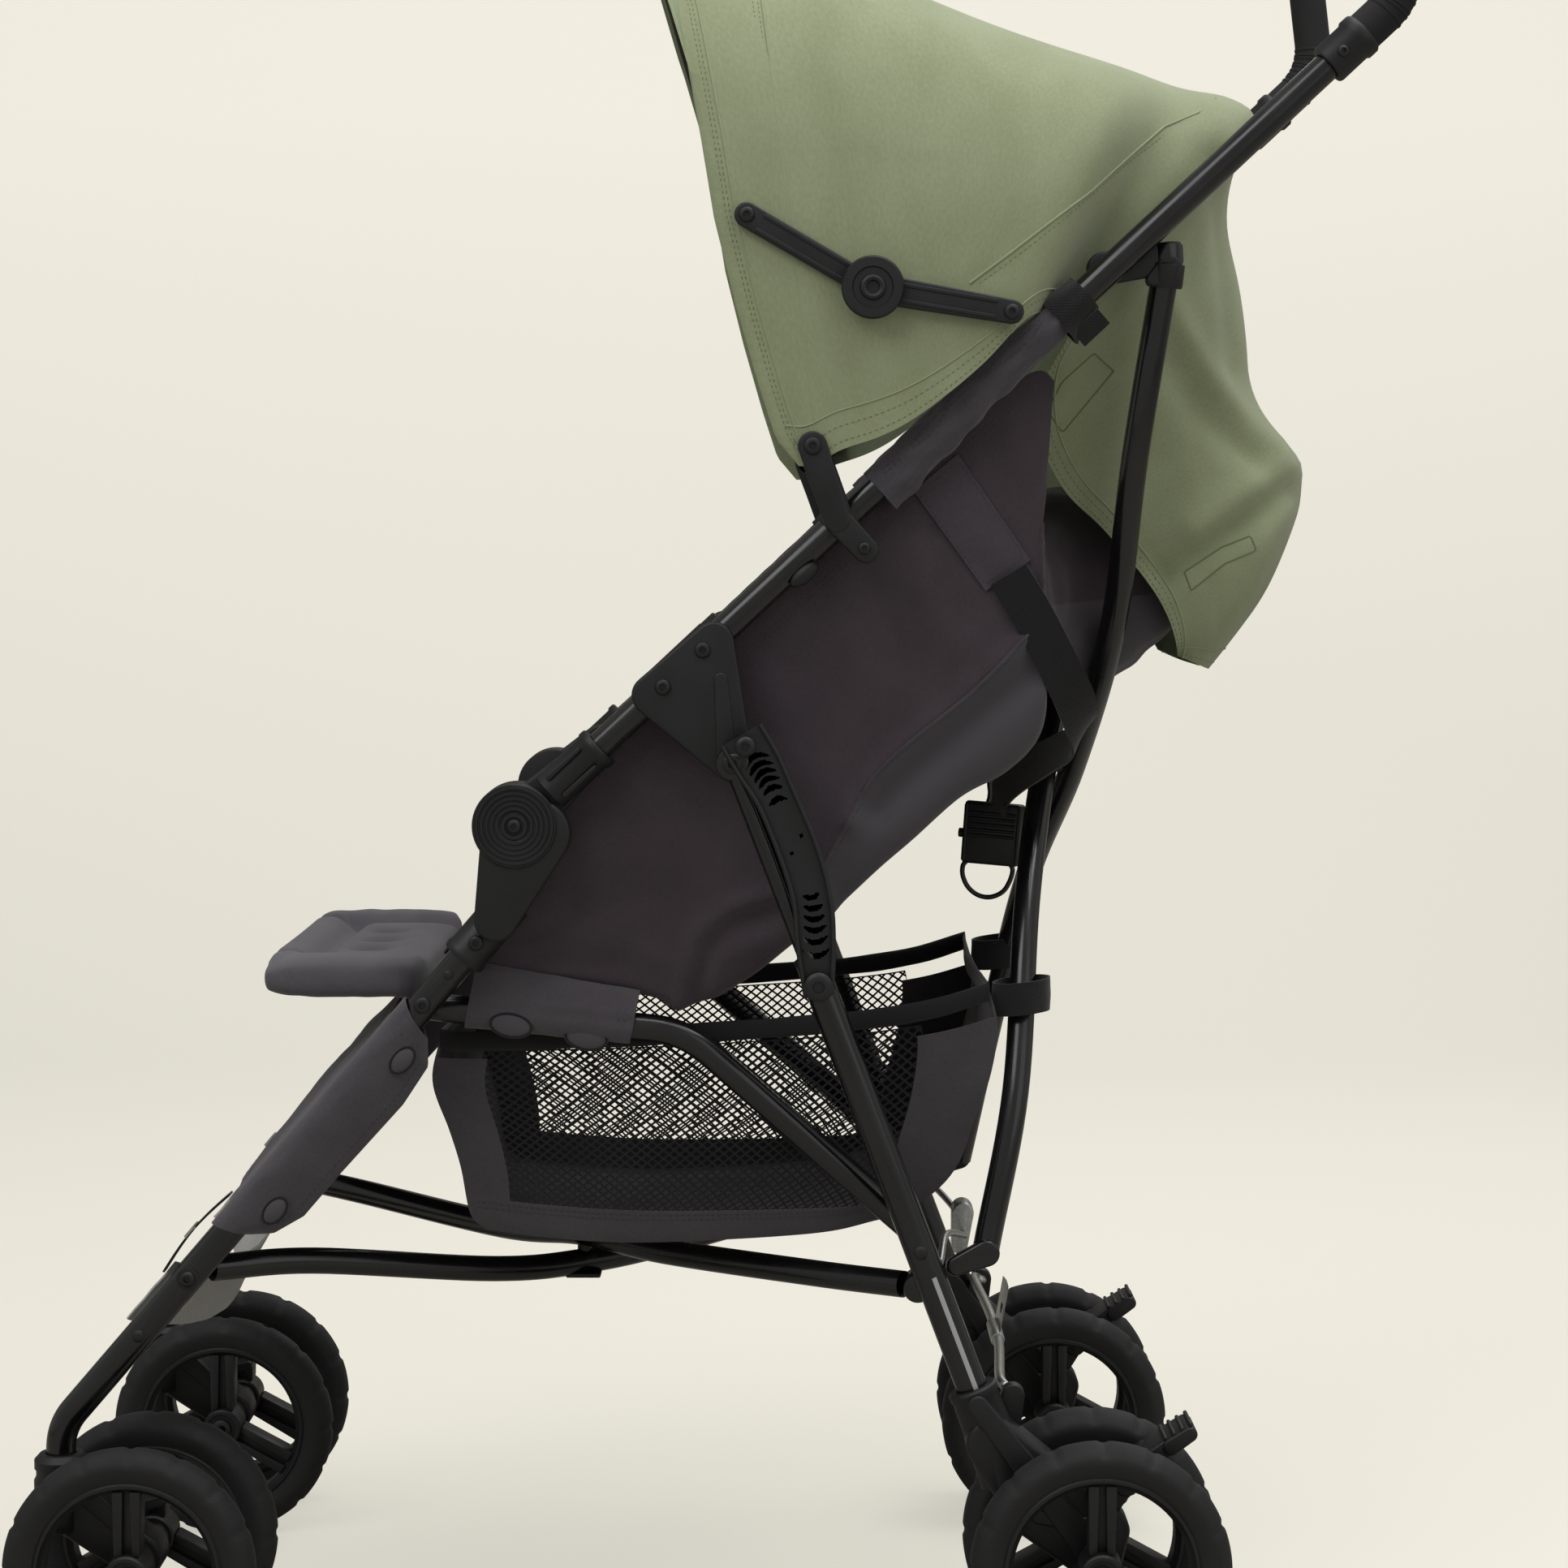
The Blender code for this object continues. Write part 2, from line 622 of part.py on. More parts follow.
# Casters: a stem housing, a trailing arm and the axle for two wheels
axle_half = FRONT_PAIR_SPREAD + FRONT_TYRE_W / 2 + AXLE_PROUD
for side, sign in SIDES:
    x = sign * FRAME_X
    arm_outline = hull([((STEM_Y, CASTER_ARM_Z), CASTER_ARM_R), (FRONT_AXLE, CASTER_BOSS_R)])
    arm = plate(arm_outline, x - CASTER_ARM_T / 2, x + CASTER_ARM_T / 2)
    axle = rod((x - axle_half, *FRONT_AXLE), (x + axle_half, *FRONT_AXLE), AXLE_R)
    bottom, top = CASTER_HOUSING_Z
    housing = rod((x, STEM_Y, bottom), (x, STEM_Y, top), CASTER_HOUSING_R, 16)
    stem_end = (x, STEM_Y, STEM_BOTTOM_Z - GAP)
    stem_hole = rod(stem_end, (x, STEM_Y, top + CUT_OVERRUN), LEG_TUBE_R + BORE_CLEARANCE)
    put(fuse([arm, housing, axle], [stem_hole]), "caster_fork_" + side, "caster_" + side, BLACK_PLASTIC)

# Rear legs, the axle housings at their feet and the brake pedals
axle_half = REAR_PAIR_SPREAD + REAR_TYRE_W / 2 + AXLE_PROUD
for side, sign in SIDES:
    x = sign * REAR_LEG_X
    ends = [at_x(x, rear_leg_point(-REAR_LEG_TOP)), at_x(x, rear_leg_point(REAR_LEG_LENGTH))]
    put(tube(ends, REAR_LEG_R), "rear_leg_" + side, "rear_legs", BLACK_PAINT)
    leg_end = rear_leg_point(HOUSING_LEG_END)
    shell_circles = [(leg_end, REAR_LEG_R + HOUSING_WALL), (REAR_AXLE, HOUSING_BOSS_R), *HOUSING_CIRCLES]
    ear_circles = [(PEDAL_PIVOT, PEDAL_EAR_R), PEDAL_EAR_FOOT]
    collar_top = rear_leg_point(HOUSING_LEG_END - COLLAR_LENGTH)
    latch_ear_at = (
        x - sign * LATCH_EAR_X,
        LATCH_PIVOT[0] - LATCH_EAR_DROP[0],
        LATCH_PIVOT[1] - LATCH_EAR_DROP[1],
    )
    housing = [
        plate(hull(shell_circles), x - HOUSING_T / 2, x + HOUSING_T / 2),
        rod(at_x(x, collar_top), at_x(x, leg_end), REAR_LEG_R + COLLAR_WALL),
        plate(hull(ear_circles, 10), x - PEDAL_EAR_T / 2, x + PEDAL_EAR_T / 2),
        block(latch_ear_at, LATCH_EAR_SIZE),
        rod((x - axle_half, *REAR_AXLE), (x + axle_half, *REAR_AXLE), AXLE_R),
    ]
    leg_hole = rod(
        at_x(x, rear_leg_point(HOUSING_LEG_END - 2 * COLLAR_LENGTH)),
        at_x(x, rear_leg_point(REAR_LEG_LENGTH + GAP)),
        REAR_LEG_R + BORE_CLEARANCE,
    )
    put(fuse(housing, [leg_hole]), "rear_axle_housing_" + side, "rear_legs", BLACK_PLASTIC)
    pedal = plate(hull([(PEDAL_PIVOT, PEDAL_R), *PEDAL_CIRCLES], 10), x - PEDAL_W / 2, x + PEDAL_W / 2)
    room = block((x, *PEDAL_PIVOT), (PEDAL_EAR_T + 4 * GAP, *PEDAL_ROOM), PEDAL_TILT)
    put(fuse([pedal], [room]), "brake_pedal_" + side, "brake_pedal_" + side, BLACK_PLASTIC)


# Wheels in pairs: a foam tyre on a rim with three wide spokes
def wheel_meshes(tyre_r, width):
    """The tyre's and the rim's meshes, about an axis along X through the origin."""
    reach = tyre_r / cos(pi / WHEEL_SIDES)
    seat = reach - TYRE_WALL
    half = width / 2
    half_tread = half * TREAD_SHARE
    half_rim = half - RIM_INSET
    inner, outer = seat - RIM_BAND, seat - GAP
    tyre = ring([
        (seat, TYRE_STEP - half), (reach - TYRE_SHOULDER, -half), (reach, -half_tread),
        (reach, half_tread), (reach - TYRE_SHOULDER, half), (seat, half - TYRE_STEP),
    ])
    band = ring([(inner, -half_rim), (outer, -half_rim), (outer, half_rim), (inner, half_rim)])
    pieces = [rod((-half, 0, 0), (half, 0, 0), HUB_R, 16)]
    middle = (HUB_R + inner) / 2
    spoke_size = (width * SPOKE_SHARE, inner - HUB_R + 2 * SPOKE_SINK, SPOKE_W)
    for turn in range(3):
        angle = pi / 2 + turn * 2 * pi / 3
        pieces.append(block((0, middle * cos(angle), middle * sin(angle)), spoke_size, angle))
    bore = rod((-width, 0, 0), (width, 0, 0), AXLE_R + BORE_CLEARANCE)
    rim = fuse([*pieces, band], [bore])
    meshes = tyre.data, rim.data
    for done in (tyre, rim):
        bpy.data.objects.remove(done)
    return meshes


for end, axle, radius, width, spread in (
    ("front", FRONT_AXLE, FRONT_TYRE_R, FRONT_TYRE_W, FRONT_PAIR_SPREAD),
    ("rear", REAR_AXLE, REAR_TYRE_R, REAR_TYRE_W, REAR_PAIR_SPREAD),
):
    tyre_mesh, rim_mesh = wheel_meshes(radius, width)
    tyre_mesh.materials.append(TYRE_FOAM)
    rim_mesh.materials.append(BLACK_PLASTIC)
    for side, sign in SIDES:
        for place, shift in (("outer", spread), ("inner", -spread)):
            x = sign * ((FRAME_X if end == "front" else REAR_LEG_X) + shift)
            label = end + "_" + side + "_" + place
            carrier = "caster_" + side if end == "front" else "rear_legs"
            pivot = body("wheel_" + label, (x, *axle), carrier)
            for kind, mesh in (("tyre_", tyre_mesh), ("rim_", rim_mesh)):
                piece = bpy.data.objects.new(kind + label, mesh)
                piece.parent = pivot
                parts.objects.link(piece)

# Link rods, side brackets and the carry handle on the left side
for side, sign in SIDES:
    eye_inner = sign * (REAR_LEG_X + REAR_LEG_R + GAP)
    eye_outer = sign * (LINK_X + LINK_R)
    link = fuse(
        [
            rod(at_x(sign * LINK_X, LINK_TOP), at_x(sign * LINK_X, LINK_BOTTOM), LINK_R),
            rod(at_x(eye_inner, LINK_TOP), at_x(eye_outer, LINK_TOP), EYE_R, 14),
            rod(at_x(eye_inner, LINK_BOTTOM), at_x(eye_outer, LINK_BOTTOM), EYE_R, 14),
        ]
    )
    put(link, "link_rod_" + side, "link_rods", BLACK_PAINT)
    low, high = sorted((sign * (FRAME_X + PUSH_TUBE_R + GAP), sign * (REAR_LEG_X + REAR_LEG_R)))
    circles = [(push_point(reach), BRACKET_R) for reach in BRACKET_SCREWS]
    outline = hull([*circles, (LINK_TOP, BRACKET_PIVOT_R)])
    put(plate(outline, low, high), "side_bracket_" + side, "push_frame", BLACK_PLASTIC)

carry_x = LINK_X + LINK_R + GAP
carry_front = smooth([at_x(0, point) for point in CARRY_FRONT])
carry_rear = smooth([at_x(0, point) for point in CARRY_REAR])
carry_outline = [(point.y, point.z) for point in carry_front + carry_rear]
put(plate(carry_outline, carry_x, carry_x + CARRY_T), "carry_handle", "link_rods", BLACK_PLASTIC)

# Seat tubes from the front legs, level under the seat and down to the rear legs
for side, sign in SIDES:
    x = sign * SEAT_TUBE_X
    corners = [at_x(x, leg_point(*SEAT_FRONT_PIVOT)), at_x(x, SEAT_KNEE), at_x(x, SEAT_REAR_PIVOT)]
    pin = rod(at_x(x, SEAT_REAR_PIVOT), at_x(sign * REAR_LEG_FACE_X, SEAT_REAR_PIVOT), SEAT_PIN_R)
    seat_tube = fuse([tube(rounded(corners, SEAT_KNEE_R), SEAT_TUBE_R), pin])
    put(seat_tube, "seat_tube_" + side, "seat_tubes", BLACK_PAINT)

# Crossed braces under the seat and behind it, each passing the other side's where they cross
for side, sign in SIDES:
    floor_front = leg_point(FLOOR_FRONT)
    floor_start = (FLOOR_END_X, floor_front[0] + FLOOR_FRONT_LEAD[0], floor_front[1] + FLOOR_FRONT_LEAD[1])
    route = []
    for (x, y, z), share in zip((floor_start, *FLOOR_ROUTE), CROSS_SHARES):
        route.append(Vector((sign * x, y, z - sign * share * CROSS_SHIFT)))
    eye_x = sign * FLOOR_EYE_X
    front_eye = rod(at_x(eye_x, floor_front), at_x(sign * LEG_FACE_X, floor_front), BRACE_EYE_R)
    rear_eye = rod(at_x(-eye_x, FLOOR_REAR), at_x(-sign * REAR_LEG_FACE_X, FLOOR_REAR), BRACE_EYE_R)
    floor_brace = fuse([tube(smooth(route, 2), BRACE_TUBE_R), front_eye, rear_eye])
    put(floor_brace, "floor_brace_" + side, "floor_brace", BLACK_PAINT)

    route = []
    for (x, y, z), share in zip(BACK_ROUTE, CROSS_SHARES):
        route.append(Vector((sign * x, y + sign * share * CROSS_SHIFT, z)))
    low, high = sorted((sign * BACK_ARM_X, sign * (FRAME_X - PUSH_TUBE_R - GAP)))
    arm = plate(hull([(BACK_TOP_PIVOT, EYE_R), (BACK_ARM_END, BRACE_EYE_R)]), low, high)
    low, high = sorted((-sign * BACK_FOOT_X, -sign * REAR_LEG_FACE_X))
    foot_circles = [(BACK_ROUTE[-1][1:], BACK_FOOT_R), (BACK_FOOT, BACK_FOOT_R)]
    rear_brace = fuse([tube(smooth(route, 2), BRACE_TUBE_R), arm, plate(hull(foot_circles), low, high)])
    put(rear_brace, "rear_brace_" + side, "rear_brace", BLACK_PAINT)

# Folding latch bar between the rear axle housings, with its foot plate
bar_half = REAR_LEG_X - LATCH_EAR_X - LATCH_EAR_SIZE[0] / 2 - GAP
latch_plate_at = (0, LATCH_PIVOT[0], LATCH_PIVOT[1] + LATCH_PLATE_RISE)
latch = fuse(
    [
        rod(at_x(-bar_half, LATCH_PIVOT), at_x(bar_half, LATCH_PIVOT), LATCH_BAR_R, 10),
        block(latch_plate_at, LATCH_PLATE_SIZE),
    ]
)
put(latch, "latch_bar", "latch_bar", STEEL)

# Canopy clips, bows and stays
rear_bow_foot = along(CLIP_PIVOT, REAR_BOW_ANGLE, REAR_BOW_START)
for side, sign in SIDES:
    low, high = sorted((sign * CLIP_PLATE_X, sign * (CLIP_PLATE_X + CLIP_PLATE_T)))
    clip_circles = [(CLIP_PIVOT, CLIP_R), (push_point(CLIP_ON_TUBE), CLIP_TUBE_R), (rear_bow_foot, CLIP_R)]
    put(plate(hull(clip_circles), low, high), "canopy_clip_" + side, "push_frame", BLACK_PLASTIC)

bow_foot = along(CLIP_PIVOT, BOW_ANGLE, BOW_STRAIGHT)
bow_start = along(CLIP_PIVOT, BOW_ANGLE, BOW_START)
bow_route = [at_x(BOW_X, bow_start), *arch(bow_foot, BOW_TOP, BOW_X), at_x(-BOW_X, bow_start)]
put(tube(bow_route, BOW_R, 1), "canopy_front_bow", "canopy_bow", BLACK_PLASTIC)
half_route = [at_x(BOW_X, STAY_ON_REAR)] + [Vector(point) for point in REAR_BOW_ROUTE]
rear_route = smooth(half_route + [Vector((-p.x, p.y, p.z)) for p in half_route[-2::-1]], 2)
rear_route = [at_x(BOW_X, rear_bow_foot), *rear_route, at_x(-BOW_X, rear_bow_foot)]
put(tube(rear_route, BOW_R, 1), "canopy_rear_bow", "push_frame", BLACK_PLASTIC)

stay_x = BOW_X + BOW_R + GAP
for side, sign in SIDES:
    low, high = sorted((sign * stay_x, sign * (stay_x + STAY_T)))
    front_stay = plate(hull([(STAY_ON_BOW, STAY_W / 2), (STAY_KNEE, STAY_W / 2)]), low, high)
    put(front_stay, "stay_front_" + side, "front_stays", BLACK_PLASTIC)
    low, high = sorted((sign * (stay_x + STAY_T + GAP), sign * (stay_x + 2 * STAY_T + GAP)))
    pin = rod(at_x((low + high) / 2, STAY_ON_REAR), at_x(sign * stay_x, STAY_ON_REAR), STAY_PIN_R)
    stay_outline = hull([(STAY_ON_REAR, STAY_W / 2), (STAY_KNEE, STAY_W / 2 + STAY_KNEE_SPREAD)])
    put(fuse([plate(stay_outline, low, high), pin]), "stay_rear_" + side, "rear_stays", BLACK_PLASTIC)

# Canopy cloth: hoops from behind the front bow back over the rear bow and down the rear flap
behind = BOW_R + 2 * GAP
front_hoop = (
    along(bow_foot, BOW_ANGLE, 0, -behind),
    along(BOW_TOP, BOW_ANGLE, 0, -behind),
    BOW_X,
)
bm = bmesh.new()
hoops = [[bm.verts.new(point) for point in arch(*hoop)] for hoop in (front_hoop, *CANOPY_HOOPS)]
for before, after in zip(hoops, hoops[1:]):
    for face in zip(before, before[1:], after[1:], after):
        bm.faces.new(face)
canopy = mesh_object(bm)
wall = canopy.modifiers.new("wall", "SOLIDIFY")
wall.thickness = CANOPY_WALL
wall.offset = 0.0
put(canopy, "canopy_cloth", "push_frame", CANOPY_CLOTH)

# Seat: a base with side wings, and the reclining back between them
base_half = SEAT_WING_X - SEAT_SIDE_INSET
seat = fuse(
    [
        plate(WING_OUTLINE, SEAT_WING_X - SEAT_WALL, SEAT_WING_X),
        plate(BASE_OUTLINE, -base_half, base_half),
        plate(WING_OUTLINE, -SEAT_WING_X, SEAT_WALL - SEAT_WING_X),
    ]
)
put(seat, "seat_base", "push_frame", SEAT_CLOTH)
back_line = smooth([at_x(0, point) for point in BACK_LINE], 2)
front_line = []
for before, point, after in zip(back_line[:1] + back_line, back_line, back_line[1:] + back_line[-1:]):
    ahead = (after - before).normalized()
    front_line.append(point + Vector((0, -ahead.z, ahead.y)) * BACK_T)
back_outline = [(point.y, point.z) for point in back_line + front_line[::-1]]
put(plate(back_outline, -BACK_HALF_W, BACK_HALF_W), "seat_back", "seat_back", SEAT_CLOTH)

# Leg rest pad and the calf panel between the front legs
pad_middle = (PAD_HINGE[0] - PAD_LENGTH / 2, PAD_HINGE[1] + PAD_T / 2)
pad = block(at_x(0, pad_middle), (2 * PAD_HALF_W, PAD_LENGTH, PAD_T))
put(pad, "legrest_pad", "legrest", PAD_CLOTH)
calf_middle = leg_point(sum(CALF_SPAN) / 2)
calf_size = (2 * CALF_HALF_W, CALF_SPAN[1] - CALF_SPAN[0], CALF_T)
put(block(at_x(0, calf_middle), calf_size, LEG_ANGLE), "calf_panel", "front_legs", SEAT_CLOTH)

# Basket: an open tub of cloth hung under the seat
floor_half = BASKET_HALF_W - BASKET_FLOOR_INSET
bm = bmesh.new()
rows = []
for (front, rear), half in ((BASKET_FLOOR, floor_half), (BASKET_RIM, BASKET_HALF_W)):
    corners = [(-half, front), (half, front), (half, rear), (-half, rear)]
    rows.append([bm.verts.new(at_x(x, point)) for x, point in corners])
bm.faces.new(rows[0])
for face in zip(rows[0], rows[0][1:] + rows[0][:1], rows[1][1:] + rows[1][:1], rows[1]):
    bm.faces.new(face)
basket = mesh_object(bm)
wall = basket.modifiers.new("wall", "SOLIDIFY")
wall.thickness = BASKET_WALL
wall.offset = 0.0
put(basket, "basket", "rear_legs", BASKET_CLOTH)
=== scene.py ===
import json
from math import asin, atan2, cos, hypot, pi, radians, sin, tan

import bmesh
import bpy
from mathutils import Matrix, Vector, noise
from mathutils.bvhtree import BVHTree


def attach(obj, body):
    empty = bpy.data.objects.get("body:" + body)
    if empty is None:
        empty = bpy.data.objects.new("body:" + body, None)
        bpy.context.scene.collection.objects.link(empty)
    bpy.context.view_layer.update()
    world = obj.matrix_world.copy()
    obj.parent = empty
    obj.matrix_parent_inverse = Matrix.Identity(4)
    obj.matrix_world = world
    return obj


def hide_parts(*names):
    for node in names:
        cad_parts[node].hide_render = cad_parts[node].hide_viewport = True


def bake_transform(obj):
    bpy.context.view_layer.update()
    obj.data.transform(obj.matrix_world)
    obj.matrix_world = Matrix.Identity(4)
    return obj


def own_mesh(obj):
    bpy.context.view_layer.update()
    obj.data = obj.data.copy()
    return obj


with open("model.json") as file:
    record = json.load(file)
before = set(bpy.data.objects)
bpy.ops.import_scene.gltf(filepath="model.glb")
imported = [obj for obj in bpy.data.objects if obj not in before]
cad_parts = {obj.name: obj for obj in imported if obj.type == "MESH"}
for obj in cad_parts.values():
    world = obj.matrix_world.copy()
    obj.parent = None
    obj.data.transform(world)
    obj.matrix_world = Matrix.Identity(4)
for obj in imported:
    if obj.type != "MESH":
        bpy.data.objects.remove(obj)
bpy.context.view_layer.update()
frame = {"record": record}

scene = bpy.context.scene

# Photo studio
# A pale warm paper sweep that runs from the floor up into the backdrop, lit by soft lamps. The
# camera stands on the pushchair's left, a little above the seat, as in the photograph.
def linear(code):
    """An sRGB hex colour as linear values."""
    channels = [int(code[i:i + 2], 16) / 255 for i in (1, 3, 5)]
    return tuple(c / 12.92 if c <= 0.04045 else ((c + 0.055) / 1.055) ** 2.4 for c in channels)


def add_node(tree, kind, values=(), links=(), stops=(), into=None, **settings):
    """A shader node with its settings, the values of its inputs, and its links in and out."""
    node = tree.nodes.new("ShaderNode" + kind)
    for setting, value in settings.items():
        setattr(node, setting, value)
    for socket, value in dict(values).items():
        node.inputs[socket].default_value = value
    for socket, feed in dict(links).items():
        source, output = feed if isinstance(feed, tuple) else (feed, 0)
        tree.links.new(source.outputs[output], node.inputs[socket])
    for index, (position, colour) in enumerate(stops):
        node.color_ramp.elements[index].position = position
        node.color_ramp.elements[index].color = (*linear(colour), 1.0)
    if into:
        tree.links.new(node.outputs[0], into[0].inputs[into[1]])
    return node


def new_finish(name, colour, roughness, metallic=0.0, values=()):
    """A material, its node tree and its shader, with the even colour and roughness it starts from."""
    finish = bpy.data.materials.new(name)
    finish.use_nodes = True
    shader = finish.node_tree.nodes["Principled BSDF"]
    shader.inputs["Base Color"].default_value = (*linear(colour), 1.0)
    shader.inputs["Roughness"].default_value = roughness
    shader.inputs["Metallic"].default_value = metallic
    for socket, value in dict(values).items():
        shader.inputs[socket].default_value = value
    finish.diffuse_color = (*linear(colour), 1.0)
    return finish, finish.node_tree, shader


def clamped(value):
    """The value held between 0 and 1."""
    return min(max(value, 0.0), 1.0)


PAPER = "#F0EDE1"
scene.view_settings.view_transform = "Standard"
camera_data = bpy.data.cameras.new("photo_camera")
camera_data.sensor_width = 36.0
camera_data.lens = 75.3
camera_data.clip_start = 0.05
camera_data.dof.use_dof = False
camera = bpy.data.objects.new("photo_camera", camera_data)
scene.collection.objects.link(camera)
camera.location = (2.108, 0.044, 0.678)
camera.rotation_euler = (radians(90 - 4.07), 0.0, radians(90))
scene.camera = camera

world = bpy.data.worlds.new("studio")
scene.world = world
world.use_nodes = True
background = world.node_tree.nodes["Background"]
rays = add_node(world.node_tree, "LightPath")
add_node(
    world.node_tree, "MapRange", values={"To Min": 0.4, "To Max": 1.0}, links={"Value": rays},
    into=(background, "Strength")
)
background.inputs["Color"].default_value = (*linear("#F6F5F1"), 1.0)

# Matt paper, a little brighter up the wall than on the floor, as the photograph's background is
paper, tree, shader = new_finish("seamless_paper", "#A9A69D", 0.9, values={"Specular IOR Level": 0.1})
coords = add_node(tree, "TexCoord")
fibres = add_node(tree, "TexNoise", values={"Scale": 900.0, "Detail": 3.0}, links={"Vector": (coords, "Object")})
add_node(
    tree, "Bump", values={"Strength": 0.05, "Distance": 0.0002}, links={"Height": fibres},
    into=(shader, "Normal")
)
shader.inputs["Emission Color"].default_value = (*linear(PAPER), 1.0)
parts = add_node(tree, "SeparateXYZ", links={"Vector": (coords, "Object")})
rise = add_node(
    tree, "MapRange", values={"From Max": 1.4, "To Min": 0.6, "To Max": 0.78}, links={"Value": (parts, "Z")}
)
rays = add_node(tree, "LightPath")
add_node(tree, "Math", operation="MULTIPLY", links={0: rays, 1: rise}, into=(shader, "Emission Strength"))
bm = bmesh.new()
bmesh.ops.create_grid(bm, x_segments=80, y_segments=1, size=1.0)
for vert in bm.verts:
    along = (vert.co.x + 1) / 2
    reach = 2.6 - along * 7.0
    bend = clamped((-2.2 - reach) / 1.2)
    rise = max(-2.2 - 1.2 - reach, 0.0)
    if bend > 0:
        reach = -2.2 - 1.2 * sin(bend * pi / 2)
    vert.co = Vector((reach, vert.co.y * 6.0, 1.2 * (1 - cos(bend * pi / 2)) + rise * 3.0))
bmesh.ops.reverse_faces(bm, faces=bm.faces)
mesh = bpy.data.meshes.new("paper_sweep")
bm.to_mesh(mesh)
bm.free()
mesh.shade_smooth()
mesh.materials.append(paper)
sweep = bpy.data.objects.new("paper_sweep", mesh)
scene.collection.objects.link(sweep)

for label, size, watts, place_at, aim in (
    ("key_softbox", 1.6, 20.0, (1.7, -1.3, 2.6), (0, 0, 0.6)),
    ("fill_softbox", 1.8, 5.0, (1.9, 1.8, 1.5), (0, 0, 0.5)),
    ("top_softbox", 2.0, 40.0, (0.2, 0.7, 2.9), (0, 0, 0.5)),
    ("back_softbox", 1.4, 10.0, (-1.9, 0.9, 2.0), (0, 0, 0.5)),
):
    lamp = bpy.data.lights.new(label, "AREA")
    lamp.size = size
    lamp.energy = watts
    box = bpy.data.objects.new(label, lamp)
    box.location = place_at
    box.rotation_euler = (Vector(aim) - Vector(place_at)).to_track_quat("-Z", "Y").to_euler()
    scene.collection.objects.link(box)

# Push tubes
# Two straight steel tubes from the fold joints up to the handles, bent from round stock and powder
# coated gloss black. The coat gives a soft orange peel and thin bright lines of light.
# The bench holds the mesh of the piece being made
bench = bmesh.new()
PUSH_X, PUSH_R = 0.165, 0.0085
SIDES = tuple((side, sign, Vector((sign, 0, 0)), sign * PUSH_X) for side, sign in (("left", 1), ("right", -1)))
FOLD = (-0.059, 0.516)
PUSH_ANGLE = radians(43.0)
joint_places = {joint["name"]: joint["pos_m"] for joint in frame["record"]["behaviour"]["joints"]}
SHIFT = FOLD[0] - joint_places["fold"][1]


def at(x, y, z):
    """A point given in the side layout, as a point of the frame."""
    return Vector((x, y - SHIFT, z))


def run(start, angle, distance, offset=0.0):
    """A point at a distance along a line in the side layout, and an offset to the left of it."""
    y, z = start
    return (y + distance * cos(angle) - offset * sin(angle), z + distance * sin(angle) + offset * cos(angle))


def push(distance, offset=0.0):
    return run(FOLD, PUSH_ANGLE, distance, offset)


PUSH_WAY = at(0, *push(1)) - at(0, *push(0))


def finish_piece(name, finish, body, sharp=40, replaces=""):
    """The shape as a smooth object that moves with its body. It clears the bench."""
    mesh = bpy.data.meshes.new(name)
    bench.to_mesh(mesh)
    bench.clear()
    mesh.shade_smooth()
    mesh.set_sharp_from_angle(angle=radians(sharp))
    for surface in finish if isinstance(finish, (list, tuple)) else [finish]:
        mesh.materials.append(surface)
    piece = bpy.data.objects.new(name, mesh)
    scene.collection.objects.link(piece)
    if body:
        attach(piece, body)
    if replaces:
        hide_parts(name.replace(".", "_") if replaces is True else replaces)
    return piece


def through(points, steps=6):
    """A smooth route through the given points."""
    points = [Vector(p) for p in points]
    ends = [points[0] * 2 - points[1], *points, points[-1] * 2 - points[-2]]
    route = []
    for a, b, c, d in zip(ends, ends[1:], ends[2:], ends[3:]):
        for step in range(steps):
            t = step / steps
            bend = (2 * a - 5 * b + 4 * c - d) * t**2 + (3 * b - a - 3 * c + d) * t**3
            route.append(b + ((c - a) * t + bend) / 2)
    route.append(points[-1])
    return route


def bent(points, radius, steps=12):
    """A route of straight runs with arcs of one radius at its corners, as a tube bender makes it."""
    route = [Vector(points[0])]
    for before, corner, after in zip(points, points[1:], points[2:]):
        corner = Vector(corner)
        back = (Vector(before) - corner).normalized()
        ahead = (Vector(after) - corner).normalized()
        half = back.angle(ahead) / 2
        middle = corner + (back + ahead).normalized() * (radius / sin(half))
        first = corner + back * (radius / tan(half)) - middle
        last = corner + ahead * (radius / tan(half)) - middle
        turn = first.angle(last)
        for step in range(steps + 1):
            share = step / steps
            route.append(middle + (first * sin((1 - share) * turn) + last * sin(share * turn)) / sin(turn))
    route.append(Vector(points[-1]))
    return route


def add_shape(shape, turn=None):
    """Puts a finished shape into a piece's mesh."""
    bmesh.ops.recalc_face_normals(shape, faces=shape.faces)
    if turn:
        bmesh.ops.transform(shape, matrix=turn, verts=shape.verts)
    mesh = bpy.data.meshes.new("shape")
    shape.to_mesh(mesh)
    shape.free()
    bench.from_mesh(mesh)
    bpy.data.meshes.remove(mesh)


def add_bar(route, radius, fineness=6):
    """A round bar along a route, with flat ends."""
    curve = bpy.data.curves.new("bar", "CURVE")
    curve.dimensions = "3D"
    curve.bevel_depth = radius
    curve.bevel_resolution = fineness
    curve.use_fill_caps = True
    spline = curve.splines.new("POLY")
    spline.points.add(len(route) - 1)
    for point, place_at in zip(spline.points, route):
        point.co = (*place_at, 1.0)
    bar = bpy.data.objects.new("bar", curve)
    mesh = bpy.data.meshes.new_from_object(bar)
    bpy.data.objects.remove(bar)
    shape = bmesh.new()
    shape.from_mesh(mesh)
    bpy.data.meshes.remove(mesh)
    bmesh.ops.remove_doubles(shape, verts=shape.verts, dist=0.000005)
    add_shape(shape)


